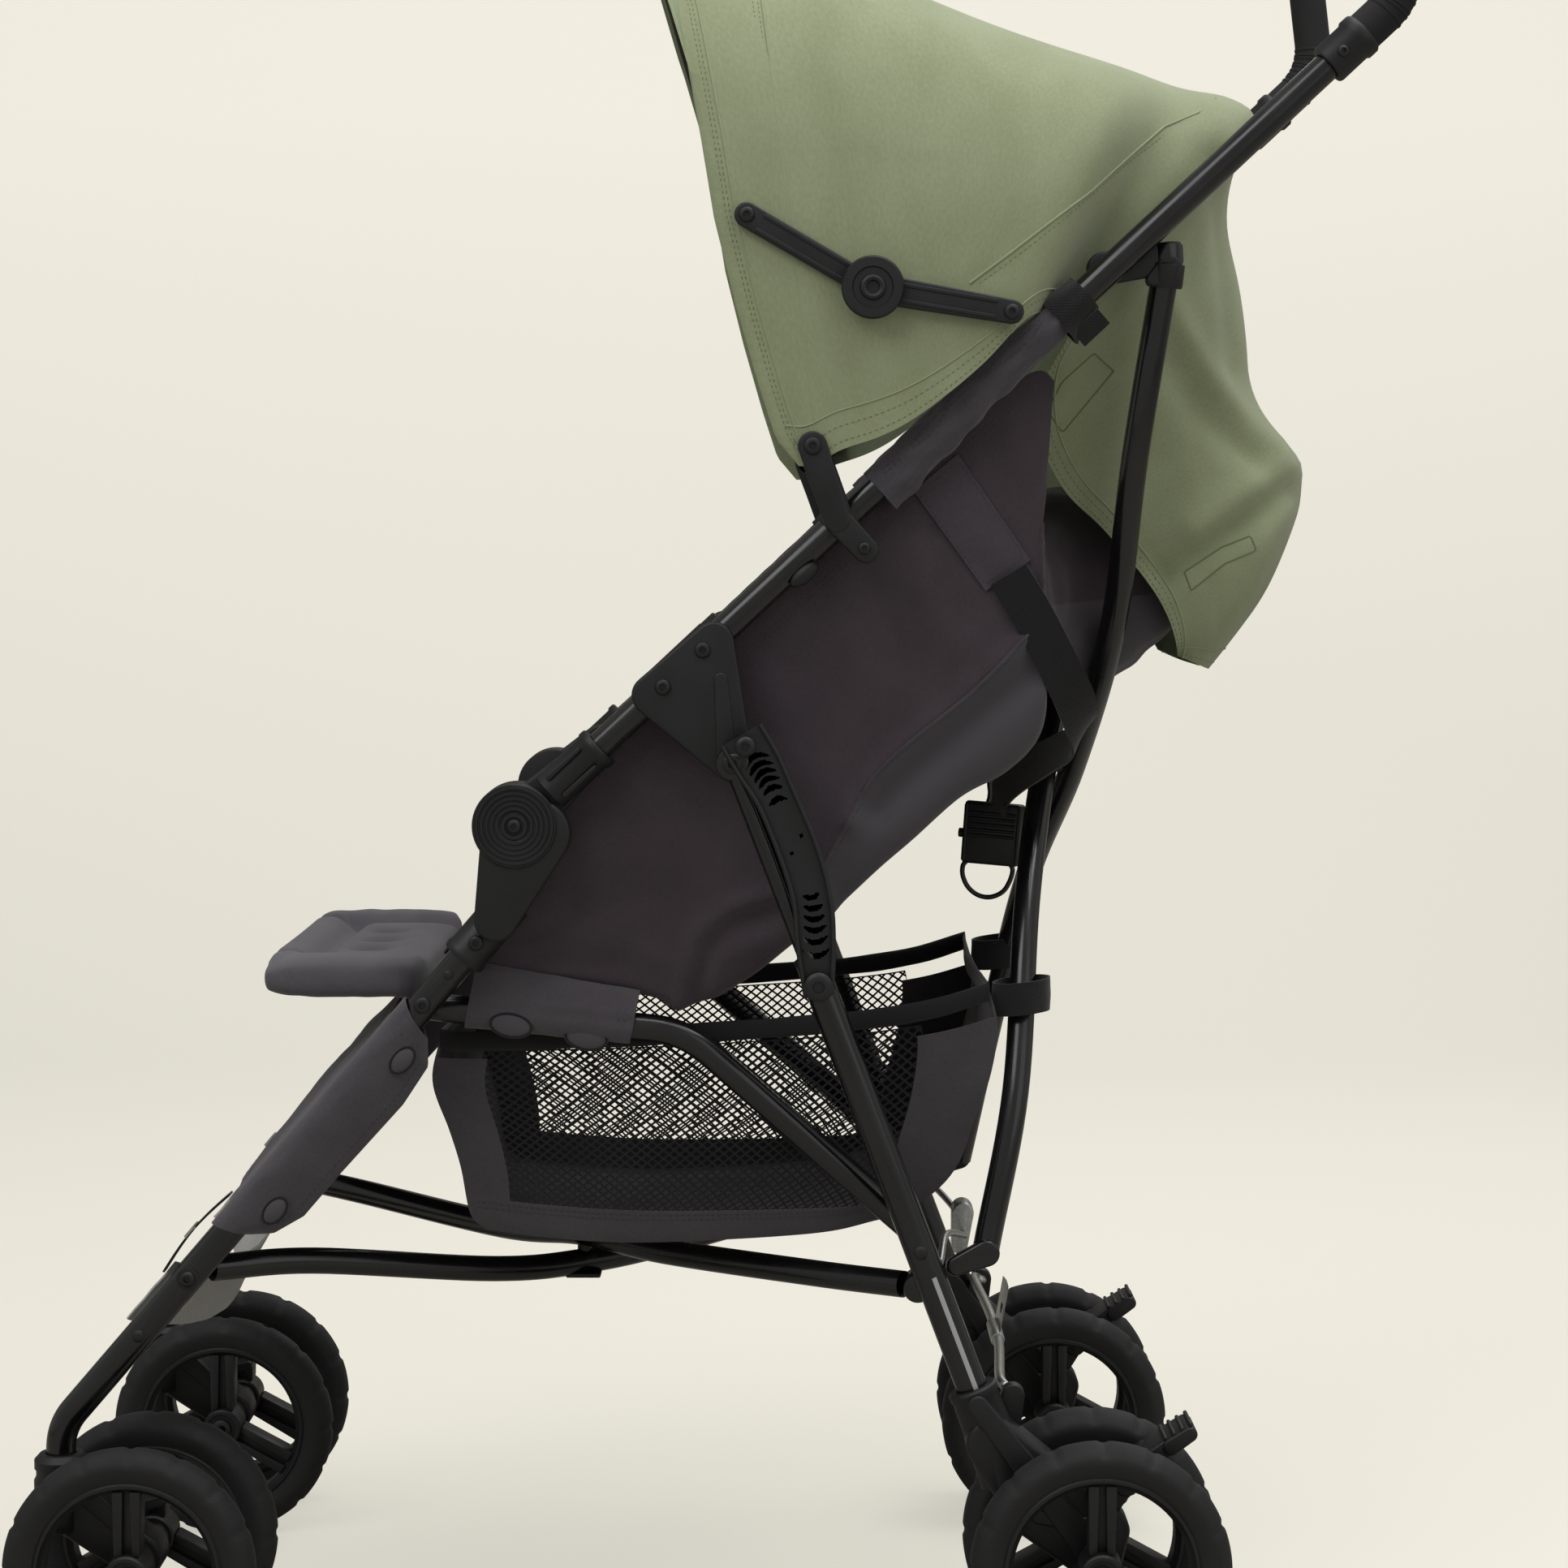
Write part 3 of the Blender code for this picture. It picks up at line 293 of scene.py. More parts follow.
# Powder coat over steel: glossy, with an orange peel a millimetre or two across
gloss_coat = {"Coat Weight": 0.35, "Coat Roughness": 0.08}
tube_coat, tree, shader = new_finish("powder_coated_steel", "#0C0C0E", 0.24, values=gloss_coat)
coords = add_node(tree, "TexCoord")
peel = add_node(tree, "TexNoise", values={"Scale": 650.0, "Detail": 2.0}, links={"Vector": (coords, "Object")})
add_node(tree, "Bump", values={"Strength": 0.12, "Distance": 0.0002}, links={"Height": peel}, into=(shader, "Normal"))
handling = add_node(tree, "TexNoise", values={"Scale": 22.0, "Detail": 6.0}, links={"Vector": (coords, "Object")})
add_node(
    tree, "MapRange", values={"From Min": 0.35, "From Max": 0.7, "To Min": 0.18, "To Max": 0.34},
    links={"Value": handling}, into=(shader, "Roughness")
)
add_node(
    tree, "ValToRGB", links={"Fac": handling}, stops=((0.35, "#0A0A0C"), (0.75, "#131316")),
    into=(shader, "Base Color")
)

for side, sign, across, x in SIDES:
    add_bar([at(x, *push(0.031 + 0.06 * step)) for step in range(12)], PUSH_R)
    finish_piece("push_tube." + side, tube_coat, "push_frame", replaces=True)

# Handle grips
# Closed-cell foam sleeves slid over the bent ends of the push tubes, each starting in a moulded
# nylon collar that is screwed to the tube. The foam is matt and finely pored.
def add_turned(profile, base, axis, segments=48):
    """A turned shape: points of radius and height, spun about an axis that starts at its base."""
    shape = bmesh.new()
    chain = [shape.verts.new((radius, 0.0, height)) for radius, height in profile]
    edges = [shape.edges.new(pair) for pair in zip(chain, chain[1:])]
    bmesh.ops.spin(
        shape, geom=chain + edges, cent=(0, 0, 0), axis=(0, 0, 1), angle=2 * pi, steps=segments, use_merge=True
    )
    bmesh.ops.remove_doubles(shape, verts=shape.verts, dist=0.000005)
    turn = Vector(axis).to_track_quat("Z", "Y").to_matrix().to_4x4()
    add_shape(shape, Matrix.Translation(base) @ turn)


def add_pin(start, end, radius, edge=0.0008, segments=32):
    """A cylinder between two points, with rounded rims."""
    start, end = Vector(start), Vector(end)
    length = (end - start).length
    profile = [(0, 0), (radius - edge, 0), (radius - edge * 0.3, edge * 0.3), (radius, edge)]
    profile += [(radius, length - edge), (radius - edge * 0.3, length - edge * 0.3), (radius - edge, length)]
    add_turned([*profile, (0, length)], start, end - start, segments)


def add_slab(circles, x_in, x_out, edge=0.0012, segments=36):
    """A plate round some circles of the side layout, with bevelled rims."""
    shape = bmesh.new()
    for (y, z), radius in circles:
        for x in sorted((x_in, x_out)):
            turn = Matrix.Translation(at(x, y, z)) @ Matrix.Rotation(pi / 2, 4, "Y")
            bmesh.ops.create_circle(shape, segments=segments, radius=radius, matrix=turn)
    found = bmesh.ops.convex_hull(shape, input=shape.verts)
    spare = [g for g in found["geom_interior"] + found["geom_unused"] if isinstance(g, bmesh.types.BMVert)]
    bmesh.ops.delete(shape, geom=list(set(spare)), context="VERTS")
    bmesh.ops.remove_doubles(shape, verts=shape.verts, dist=0.00001)
    bmesh.ops.dissolve_limit(shape, angle_limit=radians(1), verts=shape.verts, edges=shape.edges)
    bmesh.ops.recalc_face_normals(shape, faces=shape.faces)
    rims = [e for e in shape.edges if len(e.link_faces) == 2 and e.calc_face_angle() > radians(60)]
    if edge:
        bmesh.ops.bevel(
            shape, geom=rims, offset=edge, segments=3, affect="EDGES", profile=0.5, material=-1, clamp_overlap=True
        )
    add_shape(shape)


def add_screw(at_point, axis, radius, height=0.0022):
    """A button head with a round socket, standing on a surface."""
    rise = [(radius, 0), (radius, height * 0.35), (radius * 0.86, height * 0.8), (radius * 0.62, height)]
    socket = [(radius * 0.42, height), (radius * 0.38, height * 0.35), (0, height * 0.3)]
    add_turned([(0, -0.0006), (radius, -0.0006), *rise, *socket], at_point, axis, 28)


def add_rivet(at_point, axis, radius, height=0.002):
    """A domed rivet head."""
    dome = [(radius * cos(step * pi / 12), height * sin(step * pi / 12)) for step in range(7)]
    add_turned([(0, -0.0006), (radius, -0.0006), *dome[:-1], (0, height)], at_point, axis, 28)


def moulded(name, colour, worn, rough_low, rough_high, grain, depth):
    """Moulded plastic or foam: a fine grain in the surface, and handling marks in the gloss."""
    finish, tree, shader = new_finish(name, colour, rough_low)
    coords = add_node(tree, "TexCoord")
    grit = add_node(tree, "TexNoise", values={"Scale": grain, "Detail": 4.0}, links={"Vector": (coords, "Object")})
    add_node(
        tree, "Bump", values={"Strength": 0.35, "Distance": depth}, links={"Height": grit},
        into=(shader, "Normal")
    )
    marks = add_node(tree, "TexNoise", values={"Scale": 34.0, "Detail": 8.0}, links={"Vector": (coords, "Object")})
    add_node(
        tree, "MapRange", values={"From Min": 0.3, "From Max": 0.7, "To Min": rough_low, "To Max": rough_high},
        links={"Value": marks}, into=(shader, "Roughness")
    )
    add_node(tree, "ValToRGB", links={"Fac": marks}, stops=((0.3, colour), (0.8, worn)), into=(shader, "Base Color"))
    return finish


# EVA foam, closed cells under a millimetre that leave the surface dull
grip_foam = moulded("eva_grip_foam", "#131315", "#1C1C1F", 0.72, 0.88, 1400.0, 0.0004)
# Glass-filled nylon from a spark-eroded mould: dark, even and softly shiny on its edges
nylon = moulded("moulded_nylon", "#111113", "#1A1A1D", 0.42, 0.58, 2200.0, 0.00012)

for side, sign, across, x in SIDES:
    corner = push(0.715)
    end = run(corner, PUSH_ANGLE + radians(54), 0.078)
    route = bent([at(x, *push(0.676)), at(x, *corner), at(x, *end)], 0.04, 16)
    ahead = (route[-1] - route[-2]).normalized()
    add_bar(route[:-1] + [route[-1] - ahead * 0.01], 0.0121, 9)
    dome = [(0.0125 * cos(step * pi / 14), 0.01 * sin(step * pi / 14)) for step in range(8)]
    add_turned([(0, -0.001), (0.0125, -0.001), *dome[:-1], (0, 0.01)], route[-1] - ahead * 0.01, ahead)
    for step in range(9):
        share = 0.16 + step * 0.085
        spot = route[int(share * (len(route) - 1))]
        add_turned(
            [(0.0118, -0.0011), (0.0125, -0.0006), (0.0125, 0.0006), (0.0118, 0.0011)], spot,
            route[int(share * (len(route) - 1)) + 1] - spot, 40,
        )
    finish_piece("handle_grip." + side, grip_foam, "push_frame", replaces="grip_" + side)

    collar = [
        (0.0088, -0.016), (0.0118, -0.016), (0.0124, -0.0145), (0.0124, 0.004), (0.0136, 0.0056),
        (0.0136, 0.0112), (0.0128, 0.0124), (0.01, 0.0124),
    ]
    add_turned(collar, at(x, *push(0.668)), PUSH_WAY)
    add_screw(at(x, *push(0.662)) + across * 0.0118, across, 0.0036)
    finish_piece("grip_collar." + side, nylon, "push_frame")

# Fold joints
# Two nylon discs on each side turn on one steel pin: the upper half is clamped on the push tube and
# the lower half carries the front leg in its ear. The outer face has turned rings and a centre screw.
# The leg's line passes this far from the fold pin
LEG_GAP = 0.0278
LEG_ANGLE = atan2(0.1519 - FOLD[1], -0.3355 - FOLD[0])
LEG_ANGLE -= asin(LEG_GAP / hypot(0.1519 - FOLD[1], -0.3355 - FOLD[0]))
LEG_R = 0.009


def leg(distance, offset=LEG_GAP):
    return run(FOLD, LEG_ANGLE, distance, offset)


LEG_WAY = at(0, *leg(1)) - at(0, *leg(0))


def collar_profile(bore, outer, length, lip=0.0012):
    """A moulded socket: a straight sleeve with a raised lip at its mouth."""
    return [
        (bore, 0), (outer, 0), (outer, length - 0.006), (outer + lip, length - 0.0045),
        (outer + lip, length - 0.001), (outer + lip * 0.4, length), (bore, length),
    ]


for side, sign, across, x in SIDES:
    low, high = sorted((sign * 0.1525, sign * 0.168))
    add_pin(at(low, *FOLD), at(high, *FOLD), 0.025, 0.0012, 64)
    add_slab([(FOLD, 0.0165), (push(0.044), 0.0122)], low + 0.0004, high - 0.0004, 0.002)
    add_turned(collar_profile(0.0087, 0.0122, 0.04), at(x, *push(0.028)), PUSH_WAY)
    for offset in (-0.007, 0.007):
        ribs = [(push(0.034, offset), 0.0016), (push(0.058, offset), 0.0012)]
        add_slab(ribs, sign * 0.165, sign * 0.1773, 0.0005, 12)
    add_screw(at(sign * 0.1525, *FOLD), -across, 0.0075, 0.0022)
    finish_piece("fold_joint_upper." + side, nylon, "push_frame", replaces=True)

    face = 0.1838
    rings = [(0, 0.0146), (0.0052, 0.0146), (0.0056, 0.0158), (0.0078, 0.0158), (0.0082, 0.0148)]
    for step in range(5):
        radius = 0.0092 + step * 0.003
        rings += [(radius, 0.015), (radius + 0.0005, 0.0156), (radius + 0.0019, 0.0156), (radius + 0.0023, 0.0149)]
    rings += [(0.0243, 0.015), (0.025, 0.0142), (0.025, 0.0006), (0.0244, 0.0), (0, 0.0)]
    add_turned(rings, at(sign * (face - 0.0155), *FOLD), across, 72)
    ear = [(FOLD, 0.0195), (leg(0.05), 0.0128), (run(FOLD, radians(-20), 0.014), 0.02)]
    add_slab(ear, sign * (face - 0.0153), sign * (face - 0.0022), 0.0022)
    add_turned(collar_profile(0.0093, 0.0128, 0.044, 0.0009), at(x, *leg(0.038)), LEG_WAY)
    add_screw(at(sign * (face - 0.0003), *FOLD), across, 0.0042, 0.002)
    add_screw(at(x, *leg(0.068)) + across * 0.0124, across, 0.0046, 0.0024)
    add_screw(at(x, *leg(0.068)) - across * 0.0124, -across, 0.0046, 0.0024)
    finish_piece("fold_joint_lower." + side, nylon, "front_legs", replaces=True)

# Front legs
# Steel tubes from the fold joints, bent down at their feet so that they stand upright in the caster
# housings. Bolts with washers and a small rivet hold the floor brace and the foot strap.
STEM_Y, BRACE_BOLT = -0.3355, 0.3349
for side, sign, across, x in SIDES:
    start = leg(0.056)
    corner = run(start, LEG_ANGLE, (STEM_Y - start[0]) / cos(LEG_ANGLE))
    add_bar(bent([at(x, *start), at(x, *corner), at(x, STEM_Y, 0.108)], 0.035, 16), LEG_R)
    finish_piece("front_leg." + side, tube_coat, "front_legs", replaces=True)

    for way in (1, -1):
        bolt = at(x, *leg(BRACE_BOLT))
        add_pin(bolt + across * way * 0.0086, bolt + across * way * 0.0098, 0.0068, 0.0004)
        add_screw(bolt + across * way * 0.0098, across * way, 0.0048, 0.0026)
        add_rivet(at(x, *leg(0.381)) + across * way * 0.0087, across * way, 0.0038, 0.0018)
        add_screw(at(x, *leg(0.118)) + across * way * 0.0086, across * way, 0.005, 0.0022)
        add_rivet(at(x, *leg(0.094)) + across * way * 0.0087, across * way, 0.003, 0.0014)
    finish_piece("front_leg_fixings." + side, nylon, "front_legs")

# Caster forks
# Each front pair turns in a nylon housing on the leg's foot. A trailing arm runs back and down to
# the axle, with a lock lever on its back and a domed cap over the stem.
FRONT_AXLE = (-0.2871, 0.075)
for side, sign, across, x in SIDES:
    housing = [
        (0.0094, 0.0), (0.015, 0.0), (0.0163, 0.0016), (0.0163, 0.03), (0.015, 0.0325), (0.015, 0.036),
        (0.016, 0.0372), (0.016, 0.0425), (0.0128, 0.046), (0.0094, 0.0462),
    ]
    add_turned(housing, at(x, STEM_Y, 0.09), (0, 0, 1))
    add_pin(at(x, STEM_Y, 0.0925), at(x, STEM_Y, 0.107), 0.015, 0.002)
    add_slab([((STEM_Y, 0.108), 0.015), (FRONT_AXLE, 0.014)], x - 0.013, x + 0.013, 0.003)
    add_slab([((STEM_Y + 0.012, 0.118), 0.0065), ((-0.293, 0.09), 0.005)], x - 0.0142, x + 0.0142, 0.0012, 20)
    for way in (1, -1):
        add_pin(at(x + way * 0.0125, *FRONT_AXLE), at(x + way * 0.0285, *FRONT_AXLE), 0.0105, 0.0012)
    add_slab([((-0.3, 0.101), 0.0045), ((-0.276, 0.108), 0.003)], x - 0.009, x + 0.009, 0.001, 16)
    add_pin(at(x - 0.056, *FRONT_AXLE), at(x + 0.056, *FRONT_AXLE), 0.004, 0.0005, 20)
    finish_piece("caster_fork." + side, nylon, "caster_" + side, replaces=True)

# Wheels
# Eight wheels in four pairs: a shiny-edged nylon rim with three wide double-ribbed spokes, and a
# moulded foam tyre pressed on it, its tread crossed by shallow grooves.
tyre_foam = moulded("eva_tyre_foam", "#161617", "#202022", 0.62, 0.8, 900.0, 0.0005)


def add_rim(tyre_r, width, centre, out):
    """A rim with its hub, three spokes and web, its detailed face towards out."""
    seat, half = tyre_r - 0.0187, width / 2
    band = [
        (seat, -half + 0.003), (seat, half - 0.003), (seat - 0.0012, half - 0.0018), (seat - 0.003, half - 0.0018),
        (seat - 0.0042, half - 0.004), (seat - 0.0062, half - 0.006), (seat - 0.0062, -half + 0.006),
        (seat - 0.0042, -half + 0.004), (seat - 0.003, -half + 0.0018), (seat - 0.0012, -half + 0.0018),
        (seat, -half + 0.003),
    ]
    add_turned(band, centre, out, 72)
    hub = [
        (0.0045, -half), (0.0118, -half), (0.013, -half + 0.0012), (0.013, half - 0.0012), (0.0118, half),
        (0.0098, half), (0.0092, half - 0.0014), (0.0045, half - 0.0014),
    ]
    add_turned(hub, centre, out, 40)
    cap = [
        (0, half + 0.003), (0.0052, half + 0.003), (0.0064, half + 0.0022), (0.0066, half - 0.0016),
        (0, half - 0.0016),
    ]
    add_turned(cap, centre, out, 32)
    for turn in range(3):
        angle = pi / 2 + turn * 2 * pi / 3
        arm = Vector((0, cos(angle), sin(angle)))
        side_way = Vector((0, -sin(angle), cos(angle)))
        for offset, wide, deep in ((-0.0052, 0.005, 0.4), (0.0052, 0.005, 0.4), (0.0, 0.012, 0.2)):
            shape = bmesh.new()
            bmesh.ops.create_cube(shape, size=1.0)
            size = Matrix.Diagonal((width * deep * 2 * 0.86, seat - 0.0062 - 0.011, wide, 1.0))
            bmesh.ops.transform(shape, matrix=size, verts=shape.verts)
            for vert in shape.verts:
                vert.co.z *= 1.0 + (0.35 if vert.co.y > 0 else -0.05)
            bmesh.ops.bevel(
                shape, geom=shape.edges, offset=0.0009, segments=2, affect="EDGES", profile=0.5, material=-1
            )
            middle = Vector(centre) + arm * ((seat - 0.0062 + 0.011) / 2 + 0.0006) + side_way * offset
            turn_to = Matrix((Vector((1, 0, 0)), arm, side_way)).transposed().to_4x4()
            add_shape(shape, Matrix.Translation(middle) @ turn_to)


def add_tyre(tyre_r, width, centre):
    """A foam tyre: turned section with its crown grooves pressed in."""
    seat, half = tyre_r - 0.019, width / 2
    section = [
        (seat, half - 0.0028), (seat + 0.004, half - 0.001), (seat + 0.008, half), (tyre_r - 0.0078, half - 0.0002),
        (tyre_r - 0.006, half - 0.0012), (tyre_r - 0.003, half - 0.0034), (tyre_r - 0.0009, half - 0.0066),
        (tyre_r, half * 0.22), (tyre_r, -half * 0.22),
    ]
    section += [(radius, -x) for radius, x in section[6::-1]]
    shape = bmesh.new()
    chain = [shape.verts.new((x, 0.0, radius)) for radius, x in section + section[:1]]
    edges = [shape.edges.new(pair) for pair in zip(chain, chain[1:])]
    steps = 192
    bmesh.ops.spin(
        shape, geom=chain + edges, cent=(0, 0, 0), axis=(1, 0, 0), angle=2 * pi, steps=steps, use_merge=True
    )
    bmesh.ops.remove_doubles(shape, verts=shape.verts, dist=0.000005)
    for vert in shape.verts:
        radius = hypot(vert.co.y, vert.co.z)
        step = round(atan2(vert.co.y, vert.co.z) / (2 * pi) * steps) % steps
        if radius > tyre_r - 0.007 and step % 12 in (0, 1):
            depth = 0.0011 if abs(vert.co.x) > half * 0.15 else 0.0007
            vert.co.y *= (radius - depth) / radius
            vert.co.z *= (radius - depth) / radius
    add_shape(shape, Matrix.Translation(centre))


for end, axle, pair_x, spread, tyre_r, width in (
    ("front", FRONT_AXLE, PUSH_X, 0.041, 0.075, 0.024),
    ("rear", (0.2871, 0.0774), 0.171, 0.039, 0.0774, 0.026),
):
    for side, sign, across, x in SIDES:
        for place_in, shift in (("outer", spread), ("inner", -spread)):
            label = end + "_" + side + "_" + place_in
            out = Vector((sign if place_in == "outer" else -sign, 0, 0))
            centre = at(sign * (pair_x + shift), *axle)
            add_rim(tyre_r, width, centre, out)
            finish_piece("rim." + label, nylon, "wheel_" + label, replaces=True)
            add_tyre(tyre_r, width, centre)
            finish_piece("tyre." + label, tyre_foam, "wheel_" + label, replaces=True)

# Rear legs
# Steel tubes from the link rods down into the rear axle housings, each with a thin pale reflective
# strip stuck along its outer side and a rivet near its top.
LINK_TOP, LINK_BOTTOM = (0.07, 0.5535), (0.1203, 0.4229)
REAR_ANGLE = radians(-69.35)
REAR_X = 0.171


def rear(distance, offset=0.0):
    return run(LINK_BOTTOM, REAR_ANGLE, distance, offset)


REAR_WAY = at(0, *rear(1)) - at(0, *rear(0))
# Retroreflective tape: silver grey and slightly pearly
tape, tree, shader = new_finish("reflective_tape", "#B9BBBD", 0.35, 0.3)
coords = add_node(tree, "TexCoord")
beads = add_node(tree, "TexVoronoi", values={"Scale": 2600.0}, links={"Vector": (coords, "Object")})
add_node(tree, "Bump", values={"Strength": 0.3, "Distance": 0.0001}, links={"Height": beads}, into=(shader, "Normal"))
for side, sign, across, x in SIDES:
    x = sign * REAR_X
    add_bar([at(x, *rear(-0.012)), at(x, *rear(0.1)), at(x, *rear(0.318))], 0.0095)
    finish_piece("rear_leg." + side, tube_coat, "rear_legs", replaces=True)
    for way in (1, -1):
        add_rivet(at(x, *rear(0.1733)) + across * way * 0.0092, across * way, 0.0042, 0.0018)
        add_rivet(at(x, *rear(0.0)) + across * way * 0.0092, across * way, 0.005, 0.002)
    add_pin(at(x, *rear(-0.016)), at(x, *rear(-0.0115)), 0.0098, 0.0014)
    finish_piece("rear_leg_fixings." + side, nylon, "rear_legs")
    shape = bmesh.new()
    bmesh.ops.create_grid(shape, x_segments=6, y_segments=24, size=0.5)
    for vert in shape.verts:
        angle = radians(-14) + vert.co.x * 0.3
        centre = at(x, *rear(0.226 + vert.co.y * 0.072))
        front = across.cross(REAR_WAY) * -sign
        vert.co = centre + (across * cos(angle) + front * sin(angle) * sign) * 0.00958
    bmesh.ops.solidify(shape, geom=shape.faces, thickness=0.0002)
    add_shape(shape)
    finish_piece("reflector_strip." + side, tape, "rear_legs")

# Rear axle housings
# Nylon housings pressed on the feet of the rear legs. Each holds the fixed axle of its wheel pair,
# the pivot of the brake pedal, a cross screw and the ear of the latch bar.
REAR_AXLE = (0.2871, 0.0774)
PEDAL = (0.304, 0.122)
LATCH = (0.238, 0.17)
for side, sign, across, x in SIDES:
    x = sign * REAR_X
    foot = rear(0.296)
    shell = [(foot, 0.016), (REAR_AXLE, 0.016), ((0.295, 0.093), 0.012), ((0.248, 0.101), 0.012)]
    add_slab(shell, x - 0.015, x + 0.015, 0.0035)
    ribs = [(rear(0.27), 0.006), (REAR_AXLE, 0.0095)]
    add_slab(ribs, x - 0.0178, x + 0.0178, 0.0015)
    add_slab([((0.252, 0.103), 0.0048), ((0.295, 0.095), 0.0048)], x - 0.0172, x + 0.0172, 0.0015, 20)
    sleeve = [
        (0.0098, 0.0), (0.014, 0.0), (0.0152, 0.0012), (0.0152, 0.005), (0.0144, 0.0064), (0.015, 0.034),
        (0.0162, 0.06), (0.0098, 0.06),
    ]
    add_turned(sleeve, at(x, *rear(0.262)), REAR_WAY)
    add_slab([(PEDAL, 0.0074), ((0.286, 0.098), 0.01)], x - 0.0068, x + 0.0068, 0.001, 24)
    add_slab([(LATCH, 0.007), ((0.233, 0.144), 0.009)], x - sign * 0.007, x - sign * 0.017, 0.001, 24)
    for way in (1, -1):
        add_pin(at(x + way * 0.014, *REAR_AXLE), at(x + way * 0.0255, *REAR_AXLE), 0.0112, 0.0012)
        add_screw(at(x + way * 0.015, *rear(0.28)), across * way * sign, 0.0046, 0.0026)
    add_pin(at(x - 0.055, *REAR_AXLE), at(x + 0.055, *REAR_AXLE), 0.004, 0.0005, 20)
    finish_piece("rear_axle_housing." + side, nylon, "rear_legs", replaces=True)

# Brake pedals
# A nylon pedal behind each rear pair, forked over its ear on a steel pin, with a ribbed toe bar
# that is pressed down to lock the wheels.
for side, sign, across, x in SIDES:
    x = sign * REAR_X
    for way in (1, -1):
        add_slab([(PEDAL, 0.0072), ((0.318, 0.136), 0.0058)], x + way * 0.0078, x + way * 0.015, 0.0012, 24)
    add_slab([((0.3165, 0.1345), 0.0056), ((0.33, 0.145), 0.005)], x - 0.015, x + 0.015, 0.0014, 24)
    add_slab([((0.331, 0.145), 0.0052), ((0.342, 0.1525), 0.0046)], x - 0.0165, x + 0.0165, 0.0016, 24)
    for step in range(4):
        share = step / 3
        spot = (0.3275 + share * 0.015, 0.1497 + share * 0.0085)
        add_pin(at(x - 0.015, *spot), at(x + 0.015, *spot), 0.0013, 0.0004, 12)
    add_pin(at(x - 0.0162, *PEDAL), at(x + 0.0162, *PEDAL), 0.003, 0.0006, 20)
    finish_piece("brake_pedal." + side, nylon, "brake_pedal_" + side, replaces=True)

# Side brackets and link rods
# A moulded bracket is riveted on each push tube. A steel link rod hangs from it on a shouldered
# pivot and carries the top of the rear leg.
LINK_X = 0.188
for side, sign, across, x in SIDES:
    low, high = sorted((sign * 0.1738, sign * 0.1798))
    add_slab([(push(0.112, 0.001), 0.012), (push(0.16, -0.001), 0.012), (LINK_TOP, 0.012)], low, high, 0.0018)
    sleeve = [(0.0118, 0.0), (0.0126, 0.001), (0.0126, 0.05), (0.0118, 0.051)]
    for part in (sleeve, [(0.0088, 0.0), (0.0118, 0.0)], [(0.0088, 0.051), (0.0118, 0.051)]):
        add_turned(part, at(x, *push(0.111)), PUSH_WAY)
    for reach in (0.12, 0.152):
        add_screw(at(sign * 0.1796, *push(reach, 0.0)), across, 0.0048, 0.0024)
    web = [(push(0.148, -0.02), 0.0042), ((0.066, 0.56), 0.006)]
    add_slab(web, low - 0.0008, high + 0.0008, 0.001, 20)
    finish_piece("side_bracket." + side, nylon, "push_frame", replaces=True)

    x = sign * LINK_X
    add_bar([at(x, *LINK_TOP), at(x, *LINK_BOTTOM)], 0.0058)
    for spot in (LINK_TOP, LINK_BOTTOM):
        low, high = sorted((sign * 0.1808, sign * 0.1936))
        add_pin(at(low, *spot), at(high, *spot), 0.0098, 0.0012)
    finish_piece("link_rod." + side, tube_coat, "link_rods", replaces=True)
    add_screw(at(sign * 0.1935, *LINK_TOP), across, 0.0062, 0.0022)
    if side == "right":
        add_screw(at(sign * 0.1935, *LINK_BOTTOM), across, 0.0066, 0.0024)
    finish_piece("link_rod_caps." + side, nylon, "link_rods")

# Carry handle
# A soft plastic strap on the left side only, riveted above and below the rod. It is pierced by six
# curved slots near each end and two small holes, and its lower end runs on to the leg's top screw.
# Flexible polypropylene: satin, with a raised rim left by the mould
handle_plastic = moulded("moulded_polypropylene", "#141416", "#202023", 0.38, 0.55, 1500.0, 0.0001)
front_edge = through(
    [(0, 0.064, 0.564), (0, 0.074, 0.547), (0, 0.086, 0.528), (0, 0.099, 0.496), (0, 0.106, 0.472),
     (0, 0.108, 0.448), (0, 0.113, 0.416)], 6
)
rear_edge = through(
    [(0, 0.086, 0.577), (0, 0.096, 0.56), (0, 0.104, 0.542), (0, 0.119, 0.506), (0, 0.127, 0.476),
     (0, 0.129, 0.45), (0, 0.128, 0.418)], 6
)
shape = bmesh.new()
bmesh.ops.create_grid(shape, x_segments=30, y_segments=200, size=1.0)
shape.verts.ensure_lookup_table()
rows = len(front_edge) - 1


def handle_point(across_share, down_share):
    """A point of the strap, from its front edge to its rear edge and from its top to its bottom."""
    place_on = down_share * rows
    index = min(int(place_on), rows - 1)
    part = place_on - index
    front = front_edge[index].lerp(front_edge[index + 1], part)
    back = rear_edge[index].lerp(rear_edge[index + 1], part)
    point = front.lerp(back, across_share)
    return Vector((0.1945, point.y - SHIFT, point.z))


for vert in shape.verts:
    vert.co = handle_point((vert.co.x + 1) / 2, (1 - vert.co.y) / 2)
